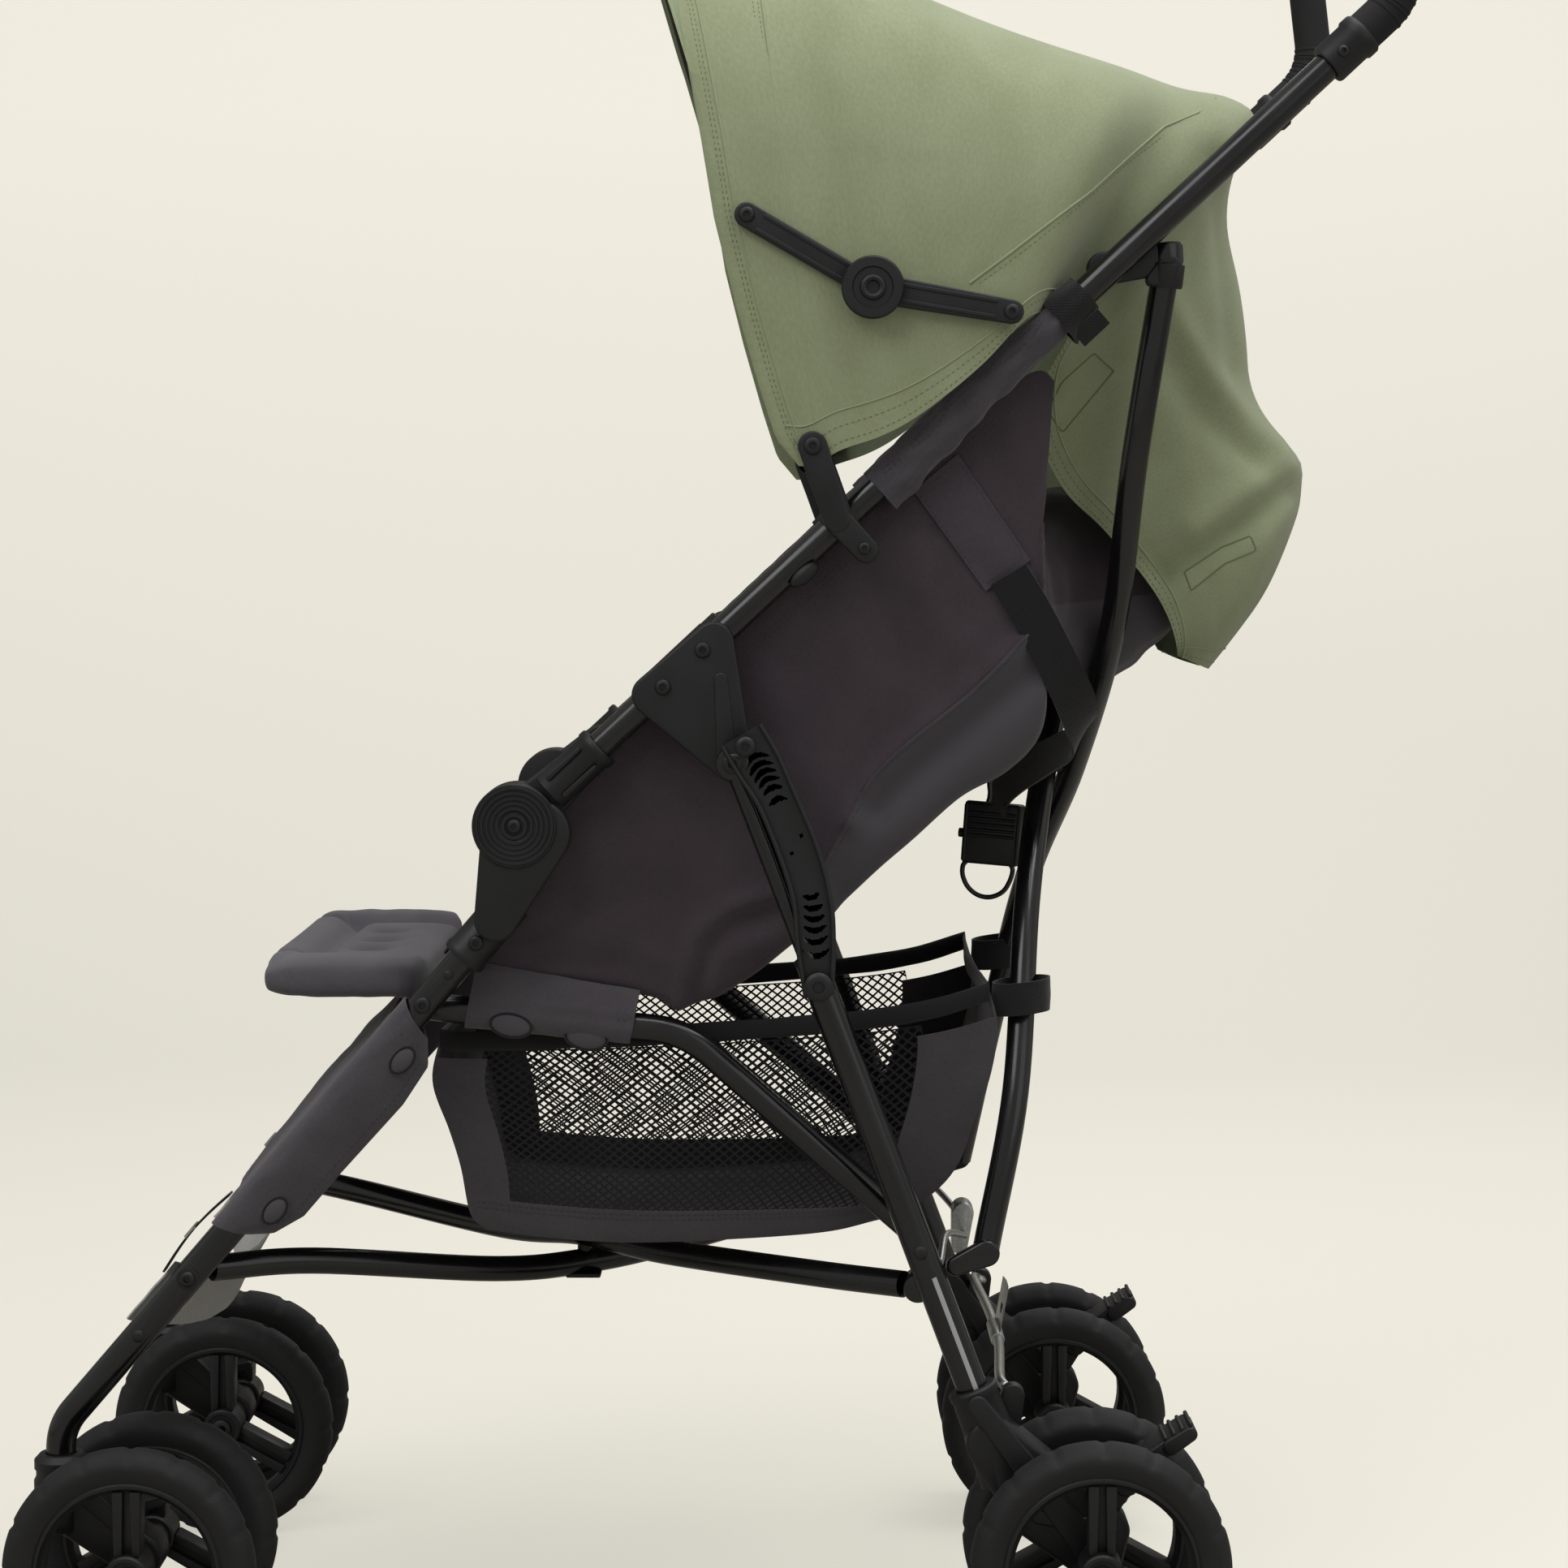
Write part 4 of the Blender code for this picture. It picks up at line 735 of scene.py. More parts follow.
# Six curved slots at each end, the widest outermost, and two small holes between
slots = []
for first, last, arch_up, wide_first, wide_last in (
    (0.125, 0.345, 60, 0.0088, 0.0058), (0.66, 0.88, -60, 0.0052, 0.0084),
):
    for step in range(6):
        slots.append((first + (last - first) * step / 5, arch_up, wide_first + (wide_last - wide_first) * step / 5))
doomed = []
for face in shape.faces:
    middle = face.calc_center_median()
    if min((middle - handle_point(*hole)).length for hole in ((0.32, 0.49), (0.72, 0.46))) < 0.0011:
        doomed.append(face)
        continue
    for level, arch_up, half in slots:
        near = handle_point(0.5, level)
        ahead = (handle_point(0.5, level + 0.01) - near).normalized()
        wide = ahead.cross(Vector((1, 0, 0)))
        out = (middle - near).dot(wide)
        down = (middle - near).dot(ahead) - out * out * arch_up
        if abs(out) < half and abs(down) < 0.0018 * (1 - (out / half) ** 4):
            doomed.append(face)
            break
bmesh.ops.delete(shape, geom=doomed, context="FACES")
bmesh.ops.solidify(shape, geom=shape.faces, thickness=0.0046)
add_shape(shape)
# The floor of the slots, near-black as painted shade for the dark inside of the slots
shape = bmesh.new()
bmesh.ops.create_grid(shape, x_segments=4, y_segments=60, size=1.0)
for vert in shape.verts:
    vert.co = handle_point(0.5 + vert.co.x * 0.44, (1 - vert.co.y * 0.97) / 2) - Vector((0.004, 0, 0))
bmesh.ops.solidify(shape, geom=shape.faces, thickness=0.001)
for face in shape.faces:
    face.material_index = 1
add_shape(shape)
# Painted shade: the slot floor is near-black so that the slots read as dark hollows
painted_shade_slot_floor = moulded("polypropylene_in_shade", "#050506", "#09090A", 0.62, 0.7, 1500.0, 0.0001)
for edge_line in (front_edge, rear_edge):
    add_bar([Vector((0.197, p.y - SHIFT, p.z)) for p in edge_line], 0.0016, 3)
for spot, radius in ((LINK_BOTTOM, 0.0085), ((0.0775, 0.564), 0.006)):
    add_screw(at(0.1995, *spot), (1, 0, 0), radius, 0.0026)
finish_piece("carry_handle", [handle_plastic, painted_shade_slot_floor], "link_rods", sharp=35, replaces=True)

# Seat tubes
# Bent steel tubes from the front legs, level under the seat and down to the rear legs, where they
# end on a rivet.
for side, sign, across, x in SIDES:
    x = sign * 0.1432
    corners = [at(x, *leg(0.1205, 0.0324)), at(x, 0.04, 0.3885), at(x, 0.1806, 0.2648)]
    add_bar(bent(corners, 0.06, 18), 0.0085)
    add_pin(at(x, 0.1806, 0.2648), at(sign * 0.1612, 0.1806, 0.2648), 0.006)
    add_pin(at(x, *leg(0.1205, 0.0324)), at(sign * 0.157, *leg(0.1205, 0.0324)), 0.005)
    finish_piece("seat_tube." + side, tube_coat, "seat_tubes", replaces=True)

# Cross braces
# Two bent tubes cross under the seat and two cross behind it, each pair riveted where it crosses.
# Their ends are pressed flat; at the top the rear pair turns on a moulded hinge with a cap.
CROSS = 0.0092
FLOOR_ROUTE = (
    (0.148, -0.2463, 0.245), (0.11, -0.19, 0.241), (0.04, -0.085, 0.226), (0.0, -0.03, 0.226),
    (-0.04, 0.025, 0.226), (-0.11, 0.12, 0.233), (-0.148, 0.1726, 0.2348),
)
BACK_ROUTE = (
    (0.148, 0.327, 0.848), (0.13, 0.311, 0.735), (0.085, 0.297, 0.63), (0.0, 0.277, 0.54),
    (-0.075, 0.257, 0.46), (-0.13, 0.241, 0.35), (-0.15, 0.222, 0.256),
)
SHARES = (0.0, 0.0, 0.6, 1.0, 0.6, 0.0, 0.0)
for side, sign, across, x in SIDES:
    route = [at(sign * x, y, z - sign * share * CROSS) for (x, y, z), share in zip(FLOOR_ROUTE, SHARES)]
    add_bar(through(route, 10), 0.0082)
    add_pin(at(sign * 0.142, *leg(BRACE_BOLT)), at(sign * 0.1556, *leg(BRACE_BOLT)), 0.0088, 0.0012)
    add_pin(at(-sign * 0.142, 0.1806, 0.2348), at(-sign * 0.1611, 0.1806, 0.2348), 0.0088, 0.0012)
    finish_piece("floor_brace." + side, tube_coat, "floor_brace", replaces=True)
    route = [at(sign * x, y + sign * share * CROSS, z) for (x, y, z), share in zip(BACK_ROUTE, SHARES)]
    add_bar(through(route, 10), 0.0082)
    add_pin(at(sign * 0.148, 0.327, 0.846), at(sign * 0.148, 0.3262, 0.86), 0.01, 0.0022)
    end = [((0.222, 0.256), 0.008), ((0.2032, 0.248), 0.0056)]
    add_slab(end, -sign * 0.1526, -sign * 0.1611, 0.0016, 24)
    add_rivet(at(-sign * 0.1526, 0.2032, 0.248), (sign, 0, 0), 0.004, 0.0016)
    finish_piece("rear_brace." + side, tube_coat, "rear_brace", replaces=True)
    low, high = sorted((sign * 0.147, sign * 0.156))
    add_slab([((0.2888, 0.8442), 0.0098), ((0.325, 0.8495), 0.0086)], low, high, 0.0016)
    add_slab([((0.318, 0.838), 0.004), ((0.3275, 0.844), 0.008)], low - 0.0012, high + 0.0012, 0.0012, 24)
    add_turned([(0.0086, 0.0), (0.0102, 0.0), (0.0108, 0.001), (0.0108, 0.014), (0.0086, 0.015)],
               at(sign * 0.1472, 0.3254, 0.8335), Vector((sign * 0.012, 0.012, 0.12)))
    for way in (1, -1):
        face = high if way > 0 else low
        add_screw(at(face, 0.2888, 0.8442), (way, 0, 0), 0.0058, 0.0024)
        add_screw(at(face + way * 0.001, 0.3262, 0.844), (way, 0, 0), 0.0034, 0.0018)
    finish_piece("rear_brace_hinge." + side, nylon, "rear_brace")
add_pin(at(0, -0.03, 0.212), at(0, -0.03, 0.241), 0.0042, 0.0012, 24)
add_slab([((-0.04, 0.2095), 0.0014), ((-0.02, 0.2095), 0.0014)], -0.012, 0.012, 0.0006, 12)
finish_piece("floor_brace_rivet", nylon, "floor_brace")
add_pin(at(0, 0.262, 0.54), at(0, 0.293, 0.54), 0.0042, 0.0012, 24)
finish_piece("rear_brace_rivet", nylon, "rear_brace")

# Latch bar
# A zinc-plated bar between the rear axle housings locks the open frame. Its slotted foot plate is
# pressed from sheet steel, and two bent arms run from it to the legs, with a pulled hook above.
# Zinc plate: bright grey with a fine crystalline bloom
zinc, tree, shader = new_finish("zinc_plated_steel", "#B4B5B4", 0.34, 1.0)
coords = add_node(tree, "TexCoord")
bloom = add_node(tree, "TexVoronoi", values={"Scale": 520.0}, links={"Vector": (coords, "Object")})
streak = add_node(tree, "TexNoise", values={"Scale": 120.0, "Detail": 6.0}, links={"Vector": (coords, "Object")})
add_node(
    tree, "MapRange", values={"To Min": 0.24, "To Max": 0.46}, links={"Value": streak},
    into=(shader, "Roughness")
)
add_node(
    tree, "ValToRGB", links={"Fac": bloom}, stops=((0.0, "#A6A8A8"), (1.0, "#C6C7C5")),
    into=(shader, "Base Color")
)
bar_half = 0.1537
lift = [at(x, LATCH[0] + dy, LATCH[1] + dz) for x, dy, dz in (
    (-bar_half, 0, 0), (-0.15, 0, 0), (-0.14, -0.006, 0.004), (-0.07, -0.002, 0.002), (-0.03, 0, 0),
    (0.03, 0, 0), (0.07, -0.002, 0.002), (0.14, -0.006, 0.004), (0.15, 0, 0), (bar_half, 0, 0),
)]
add_bar(through(lift, 6), 0.0032)
add_pin(at(-0.022, *LATCH), at(0.022, *LATCH), 0.0046, 0.0006, 24)
shape = bmesh.new()
bmesh.ops.create_grid(shape, x_segments=22, y_segments=20, size=0.5)
gone = [
    face for face in shape.faces
    if 0.1 < abs(face.calc_center_median().x) < 0.34 and -0.08 < face.calc_center_median().y < 0.08
]
bmesh.ops.delete(shape, geom=gone, context="FACES")
for vert in shape.verts:
    bow = 0.004 * (abs(vert.co.x) * 2) ** 3
    height = vert.co.y * 0.036
    vert.co = at(vert.co.x * 0.044, LATCH[0] + 0.0045 + height * 0.18 - bow * 0.4, LATCH[1] + 0.014 + height)
bmesh.ops.solidify(shape, geom=shape.faces, thickness=0.0012)
add_shape(shape)
finish_piece("latch_bar", zinc, "latch_bar", sharp=35, replaces=True)
for sign in (1, -1):
    hook = [(0.0, 0.215, 0.236), (0.03, 0.216, 0.24), (0.075, 0.202, 0.25), (0.12, 0.196, 0.242)]
    add_bar(through([at(sign * x, y, z) for x, y, z in hook], 6), 0.0022, 4)
add_slab([((0.214, 0.228), 0.005), ((0.216, 0.25), 0.007)], -0.01, 0.01, 0.001, 24)
finish_piece("fold_lock_hook", zinc, "rear_legs")

# Canopy clips
# A nylon clip on each push tube: a strap wraps the tube under its screw, and a round boss on its end
# takes the feet of both canopy bows.
CLIP = (0.1167, 0.7388)
for side, sign, across, x in SIDES:
    low, high = sorted((sign * 0.1738, sign * 0.1789))
    add_slab([(CLIP, 0.009), (push(0.268, 0.012), 0.0082), (push(0.262, 0.0), 0.0084)], low, high, 0.0014)
    add_slab([(run(CLIP, radians(36), 0.02), 0.0072), (CLIP, 0.0085)], low, high, 0.0014)
    strap = [(0.0087, 0.0), (0.0106, 0.0), (0.0112, 0.0008), (0.0112, 0.0162), (0.0106, 0.017), (0.0087, 0.017)]
    add_turned(strap, at(x, *push(0.254)), PUSH_WAY)
    add_slab([(push(0.262, 0.002), 0.008), (push(0.262, -0.0225), 0.0075)], sign * 0.1738, sign * 0.1898, 0.0014)
    add_slab([(CLIP, 0.0086), (push(0.262, 0.002), 0.0078)], sign * 0.187, sign * 0.1902, 0.0012)
    add_screw(at(sign * 0.1902, *CLIP), across, 0.0052, 0.002)
    add_screw(at(sign * 0.1902, *push(0.262, -0.021)), across, 0.0036, 0.0016)
    finish_piece("canopy_clip." + side, nylon, "push_frame", replaces=True)

# Canopy bows and stays
# The front and rear bows are glass-filled nylon strips bent to arches. A two-piece stay with a
# knurled knob at its elbow holds them apart on each side and folds up to close the canopy.
BOW_X = 0.1823
BOW_ANGLE = radians(106)
BOW_TOP = (0.02, 1.056)


def arch(foot, top, half_width, steps, power=0.62):
    """A hoop from the left foot over the top to the right foot, in the plane through both."""
    foot, top = at(0, *foot), at(0, *top)
    points = []
    for step in range(steps + 1):
        angle = pi * step / steps
        side_way = 1 if step < steps / 2 else -1
        across = half_width * side_way * abs(cos(angle)) ** power
        points.append(foot + (top - foot) * abs(sin(angle)) ** power + Vector((across, 0, 0)))
    return points


bow_foot = run(CLIP, BOW_ANGLE, 0.034)
bow_start = run(CLIP, BOW_ANGLE, 0.004)
bow_route = [at(BOW_X, *bow_start), *through(arch(bow_foot, BOW_TOP, BOW_X, 14), 5), at(-BOW_X, *bow_start)]
add_bar(bow_route, 0.003)
finish_piece("canopy_front_bow", nylon, "canopy_bow", replaces=True)
STAY_ON_BOW, STAY_KNEE, STAY_ON_REAR = (0.0784, 0.8723), (0.1514, 0.8299), (0.2322, 0.8161)
rear_foot = run(CLIP, radians(36), 0.02)
half_route = [at(BOW_X, *STAY_ON_REAR)] + [
    at(*p) for p in (
        (0.159, 0.25, 0.839), (0.133, 0.285, 0.866), (0.116, 0.33, 0.9),
        (0.088, 0.365, 0.924), (0.048, 0.379, 0.935), (0.0, 0.383, 0.938),
    )
]


def mirrored(points):
    """The points' places on the other side, in reverse order."""
    return [Vector((-p.x, p.y, p.z)) for p in points[::-1]]


rear_route = through(half_route + mirrored(half_route[:-1]), 6)
add_bar([at(BOW_X, *rear_foot), *rear_route, at(-BOW_X, *rear_foot)], 0.0029)
finish_piece("canopy_rear_bow", nylon, "push_frame", replaces=True)


def add_stay(sign, ends, x_in, x_out, rail_out, slope, rail_reach):
    """A strip between two pivots, with two raised rails along its outer face."""
    add_slab(ends, sign * x_in, sign * x_out, 0.0012)
    for offset in (-0.0046, 0.0046):
        rail = [(run(ends[0][0], slope, reach, offset), 0.0012) for reach in rail_reach]
        add_slab(rail, sign * (rail_out - 0.0012), sign * rail_out, 0.0004, 12)


KNOB = (
    (0, 0.0), (0.0172, 0.0), (0.0182, 0.0012), (0.0182, 0.0052), (0.0172, 0.0064), (0.012, 0.0066),
    (0.0114, 0.0056), (0.0076, 0.0056), (0.007, 0.007), (0.0056, 0.0076), (0.004, 0.007), (0.0036, 0.005),
    (0, 0.0048),
)
for side, sign, across, x in SIDES:
    ends = [(STAY_ON_BOW, 0.0072), (STAY_KNEE, 0.007)]
    add_stay(sign, ends, 0.1856, 0.1896, 0.1902, -0.526, (0.01, 0.068))
    add_screw(at(sign * 0.1894, *STAY_ON_BOW), across, 0.0046, 0.002)
    add_screw(at(sign * 0.1858, *STAY_ON_BOW), -across, 0.004, 0.001)
    finish_piece("canopy_stay_front." + side, nylon, "front_stays", replaces="stay_front_" + side)

    ends = [(STAY_KNEE, 0.0088), (STAY_ON_REAR, 0.007)]
    add_stay(sign, ends, 0.1899, 0.1939, 0.1946, -0.169, (0.016, 0.072))
    add_pin(at(sign * 0.1859, *STAY_ON_REAR), at(sign * 0.1905, *STAY_ON_REAR), 0.006, 0.0004)
    add_screw(at(sign * 0.1937, *STAY_ON_REAR), across, 0.0046, 0.002)
    add_turned(KNOB, at(sign * 0.1936, *STAY_KNEE), across, 60)
    finish_piece("canopy_stay_rear." + side, nylon, "rear_stays", replaces="stay_rear_" + side)

# Canopy
# One sheet of coated polyester, cut in panels and sewn. A casing on its front edge is pulled over the
# front bow, it is stretched back over the rear bow, and a loose flap hangs down behind the seat.
def spaced(route, count):
    """The same route as points at even steps along it."""
    reach = [0.0]
    for a, b in zip(route, route[1:]):
        reach.append(reach[-1] + (b - a).length)
    points = []
    index = 0
    for step in range(count):
        goal = reach[-1] * step / (count - 1)
        while index < len(route) - 2 and reach[index + 1] < goal:
            index += 1
        share = (goal - reach[index]) / max(reach[index + 1] - reach[index], 0.000001)
        points.append(route[index].lerp(route[index + 1], min(share, 1.0)))
    return points


def cloth_normals(rows, closed=False):
    """The direction that the front of a sheet faces at each of its points."""
    count = len(rows[0])
    found = []
    for index, row in enumerate(rows):
        above, below = rows[max(index - 1, 0)], rows[min(index + 1, len(rows) - 1)]
        line = []
        for j in range(count):
            left = row[(j - 1) % count] if closed else row[max(j - 1, 0)]
            right = row[(j + 1) % count] if closed else row[min(j + 1, count - 1)]
            line.append((right - left).cross(below[j] - above[j]).normalized())
        found.append(line)
    return found


def rows_of(down, across, point):
    """Rows of points down a cloth, from point(row, place in the row)."""
    return [[point(i, j) for j in range(across)] for i in range(down)]


def facing(rows, i, j, way):
    """The rows, each turned round if the front at one of their points looks away from that way."""
    return rows if cloth_normals(rows)[i][j].dot(way) > 0 else [row[::-1] for row in rows]


def lofted(controls, steps, count):
    """Smooth rows through control rows with as many points."""
    columns = [spaced(through([row[j] for row in controls], steps), count) for j in range(len(controls[0]))]
    return [[column[i] for column in columns] for i in range(count)]


def shifted(rows, amount, closed=False):
    """The sheet again, each point moved along its normal by amount(point, row share)."""
    normals = cloth_normals(rows, closed)
    last = max(len(rows) - 1, 1)
    return [
        [p + n * amount(p, index / last) for p, n in zip(row, line)]
        for index, (row, line) in enumerate(zip(rows, normals))
    ]


def add_cloth(rows, thickness, back=0, closed=False):
    """A sheet through rows of points, with its other face a thickness behind. Its UV map is in metres."""
    shape = bmesh.new()
    uv = shape.loops.layers.uv.new("cloth")
    normals = cloth_normals(rows, closed)
    count, last = len(rows[0]), len(rows) - 1
    across, down = [0.0], [0.0]
    middle = rows[last // 2]
    for a, b in zip(middle, middle[1:] + middle[:1]):
        across.append(across[-1] + (b - a).length)
    for above, below in zip(rows, rows[1:]):
        down.append(down[-1] + (below[count // 2] - above[count // 2]).length)
    front = [[shape.verts.new(p) for p in row] for row in rows]
    rear = [
        [shape.verts.new(p - n * thickness) for p, n in zip(row, line)] for row, line in zip(rows, normals)
    ]

    def quad(corners, places, surface):
        face = shape.faces.new(corners)
        face.material_index = surface
        for loop, (i, j) in zip(face.loops, places):
            loop[uv].uv = (across[j], down[i])

    steps = count if closed else count - 1
    for i in range(last):
        for j in range(steps):
            k = (j + 1) % count
            places = ((i, j), (i, j + 1), (i + 1, j + 1), (i + 1, j))
            quad((front[i][j], front[i][k], front[i + 1][k], front[i + 1][j]), places, 0)
            quad((rear[i + 1][j], rear[i + 1][k], rear[i][k], rear[i][j]), places[::-1], back)
    for i in (0, last):
        for j in range(steps):
            k = (j + 1) % count
            quad((front[i][j], front[i][k], rear[i][k], rear[i][j]), ((i, j), (i, j + 1), (i, j + 1), (i, j)), 0)
    if not closed:
        for j in (0, count - 1):
            for i in range(last):
                corners = (front[i][j], front[i + 1][j], rear[i + 1][j], rear[i][j])
                quad(corners, ((i, j), (i + 1, j), (i + 1, j), (i, j)), 0)
    add_shape(shape)


def add_stitches(route, surface, pitch=0.0036, length=0.0027, radius=0.00042):
    """A row of sewn stitches: short threads that stand half out of the cloth."""
    total = sum((b - a).length for a, b in zip(route, route[1:]))
    shape = bmesh.new()
    places = spaced(route, max(int(total / pitch), 3))
    for a, b in zip(places, places[1:]):
        ahead = (b - a).normalized()
        side_way = ahead.orthogonal().normalized()
        up = ahead.cross(side_way)
        middle = (a + b) / 2
        ring = [shape.verts.new(middle + v * radius) for v in (side_way, up, -side_way, -up)]
        for end, way in ((middle - ahead * length / 2, 1), (middle + ahead * length / 2, -1)):
            tip = shape.verts.new(end)
            for j in range(4):
                shape.faces.new((ring[j], ring[(j + 1) % 4], tip)[::way]).material_index = surface
    add_shape(shape)


def add_ridge(route, radius=0.0006, surface=0):
    """The low ridge of a felled seam, where the edge of the cloth is folded under."""
    before = len(bench.faces)
    add_bar(route, radius, 2)
    bench.faces.ensure_lookup_table()
    for face in bench.faces[before:]:
        face.material_index = surface


def on_cloth(tree, line, sign, start=0.4, steps=8):
    """Where a line drawn in the side layout falls on a sheet, seen from that side."""
    route = [Vector((0, y, z)) for y, z in line]
    found = []
    for p in spaced(route, steps * (len(route) - 1) + 1):
        hit = tree.ray_cast(at(sign * start, p.y, p.z), Vector((-sign, 0, 0)))[0]
        if hit:
            found.append(hit)
    return found


def ripple(*place_at):
    """A smooth random height for a place."""
    return noise.noise(Vector(place_at))


def hump(gap, width):
    """A rounded rise of height 1 that falls to a half at its width."""
    return 2 ** -((gap / width) ** 2)


def fold_hump(y, z, line, width):
    """How much of a fold's height is left at a point of the side layout, beside the fold's line."""
    nearest = 1.0
    for (ay, az), (by, bz) in zip(line, line[1:]):
        span = (by - ay) ** 2 + (bz - az) ** 2
        share = clamped(((y - ay) * (by - ay) + (z - az) * (bz - az)) / span)
        nearest = min(nearest, hypot(y - ay - share * (by - ay), z - az - share * (bz - az)))
    return hump(nearest, width) if nearest < width * 3 else 0.0


def woven(name, colour, faded, pitch, depth, source="cloth"):
    """Plain-woven cloth: crossing threads at a pitch in metres, slubs, and slow changes of shade."""
    lustre = {"Sheen Weight": 0.22, "Sheen Roughness": 0.55, "Specular IOR Level": 0.28}
    finish, tree, shader = new_finish(name, colour, 0.88, values=lustre)
    if source == "cloth":
        places, output = add_node(tree, "UVMap", uv_map="cloth"), "UV"
    else:
        places, output = add_node(tree, "TexCoord"), "Object"
    parts = add_node(tree, "SeparateXYZ", links={"Vector": (places, output)})
    waves = []
    for axis in ("X", "Y"):
        turns = add_node(tree, "Math", values={1: 2 * pi / pitch}, links={0: (parts, axis)}, operation="MULTIPLY")
        waves.append(add_node(tree, "Math", links={0: turns}, operation="SINE"))
    weave = add_node(tree, "Math", links={0: (waves[0], "Value"), 1: (waves[1], "Value")}, operation="MULTIPLY")
    slub = add_node(tree, "TexNoise", values={"Scale": 420.0, "Detail": 3.0}, links={"Vector": (places, output)})
    surface = add_node(tree, "Math", values={2: 0.0}, links={0: slub, 1: slub, 2: weave}, operation="MULTIPLY_ADD")
    add_node(
        tree, "Bump", values={"Strength": 0.4, "Distance": depth}, links={"Height": surface},
        into=(shader, "Normal")
    )
    shade = add_node(tree, "TexNoise", values={"Scale": 26.0, "Detail": 7.0}, links={"Vector": (places, output)})
    tint = add_node(tree, "ValToRGB", links={"Fac": shade}, stops=((0.32, colour), (0.72, faded)))
    heather = add_node(
        tree, "MapRange", values={"From Min": 0.3, "From Max": 0.7, "To Min": 0.93, "To Max": 1.06},
        links={"Value": slub}
    )
    add_node(tree, "VectorMath", links={0: tint, "Scale": heather}, operation="SCALE", into=(shader, "Base Color"))
    return finish


# Sage polyester with a paler coating inside, threads 0.4 mm apart
canopy_sage = woven("sage_polyester", "#919977", "#9AA281", 0.0008, 0.0001)
canopy_lining = woven("sage_coated_lining", "#8D987A", "#98A386", 0.0008, 0.00006)
sage_thread = woven("sage_sewing_thread", "#67724F", "#727D59", 0.0004, 0.00003)
HOOPS = (
    ((0.1142, 0.73), (0.075, 1.054), 0.1856, 0.62), ((0.132, 0.736), (0.105, 1.047), 0.186, 0.62),
    ((0.155, 0.744), (0.14, 1.036), 0.1862, 0.62), ((0.173, 0.753), (0.18, 1.022), 0.1864, 0.62),
    ((0.194, 0.768), (0.225, 1.004), 0.1864, 0.62), ((0.217, 0.7875), (0.264, 0.99), 0.186, 0.62),
    ((0.243, 0.814), (0.31, 0.9755), 0.178, 0.62), ((0.262, 0.818), (0.345, 0.965), 0.143, 0.6),
    ((0.27, 0.808), (0.375, 0.96), 0.137, 0.6), ((0.264, 0.795), (0.393, 0.95), 0.131, 0.6),
    ((0.2555, 0.78), (0.39, 0.933), 0.126, 0.6), ((0.253, 0.762), (0.38, 0.912), 0.121, 0.6),
    ((0.257, 0.739), (0.378, 0.885), 0.113, 0.62), ((0.272, 0.713), (0.385, 0.85), 0.104, 0.62),
    ((0.294, 0.693), (0.392, 0.81), 0.092, 0.62), ((0.312, 0.673), (0.399, 0.772), 0.088, 0.64),
    ((0.327, 0.655), (0.425, 0.726), 0.085, 0.64), ((0.338, 0.636), (0.422, 0.694), 0.08, 0.64),
    ((0.344, 0.62), (0.403, 0.648), 0.072, 0.66), ((0.346, 0.612), (0.37, 0.603), 0.056, 0.7),
)
ACROSS, DOWN = 190, 130
BRIM = (
    (0.108, 0.724), (0.1091, 0.7272), (0.0958, 0.7428), (0.0858, 0.7735), (0.0725, 0.8198), (0.0598, 0.8706),
    (0.0523, 0.9165), (0.0376, 0.9971), (0.016, 1.054), (0.006, 1.07),
)
foot_end = at(BOW_X, 0.12, 0.7272)
bow_line = spaced([foot_end, *bow_route, Vector((-foot_end.x, foot_end.y, foot_end.z))], ACROSS)
bow_lean = atan2(BOW_TOP[1] - bow_foot[1], BOW_TOP[0] - bow_foot[0])
forward = Vector((0.0, -sin(bow_lean), cos(bow_lean)))
bow_out = []
for before, point, after in zip(bow_line[:1] + bow_line, bow_line, bow_line[1:] + bow_line[-1:]):
    out = (after - before).normalized().cross(forward)
    bow_out.append(out if out.dot(point - at(0, *CLIP)) > 0 else -out)
OVER_BOW = 0.0036


def brim_row(share, out_by, back_by=0.0):
    """A row over the bow, from the brim's front edge at share 0 to the bow itself at share 1."""
    row = []
    for p, out in zip(bow_line, bow_out):
        for (ay, az), (by, bz) in zip(BRIM, BRIM[1:]):
            if az <= p.z <= bz:
                edge = ay + (by - ay) * (p.z - az) / (bz - az) - SHIFT
                break
        y = edge + (p.y - edge) * share + back_by
        row.append(Vector((p.x, y, p.z)) + out * out_by)
    return row


controls = [brim_row(share, OVER_BOW) for share in (0.0, 0.5, 1.0)]
controls += [spaced(through(arch(foot, top, half, 16, power), 5), ACROSS) for foot, top, half, power in HOOPS[1:]]
rows = lofted(controls, 6, DOWN)
FOLDS = (
    (((0.4139, 0.7167), (0.3869, 0.697), (0.3351, 0.6649)), -0.0085, 0.008),
    (((0.425, 0.733), (0.39, 0.716), (0.355, 0.69)), 0.005, 0.01),
    (((0.33, 0.83), (0.3588, 0.7881), (0.39, 0.755), (0.405, 0.743)), 0.0045, 0.008),
    (((0.336, 0.79), (0.364, 0.756), (0.393, 0.733)), -0.004, 0.009),
    (((0.36, 0.91), (0.37, 0.85), (0.38, 0.79)), -0.003, 0.007),
    (((0.15, 0.801), (0.1662, 0.8101), (0.1957, 0.8248), (0.22, 0.84)), -0.0016, 0.005),
    (((0.125, 0.77), (0.17, 0.782), (0.215, 0.812)), 0.0012, 0.008),
)


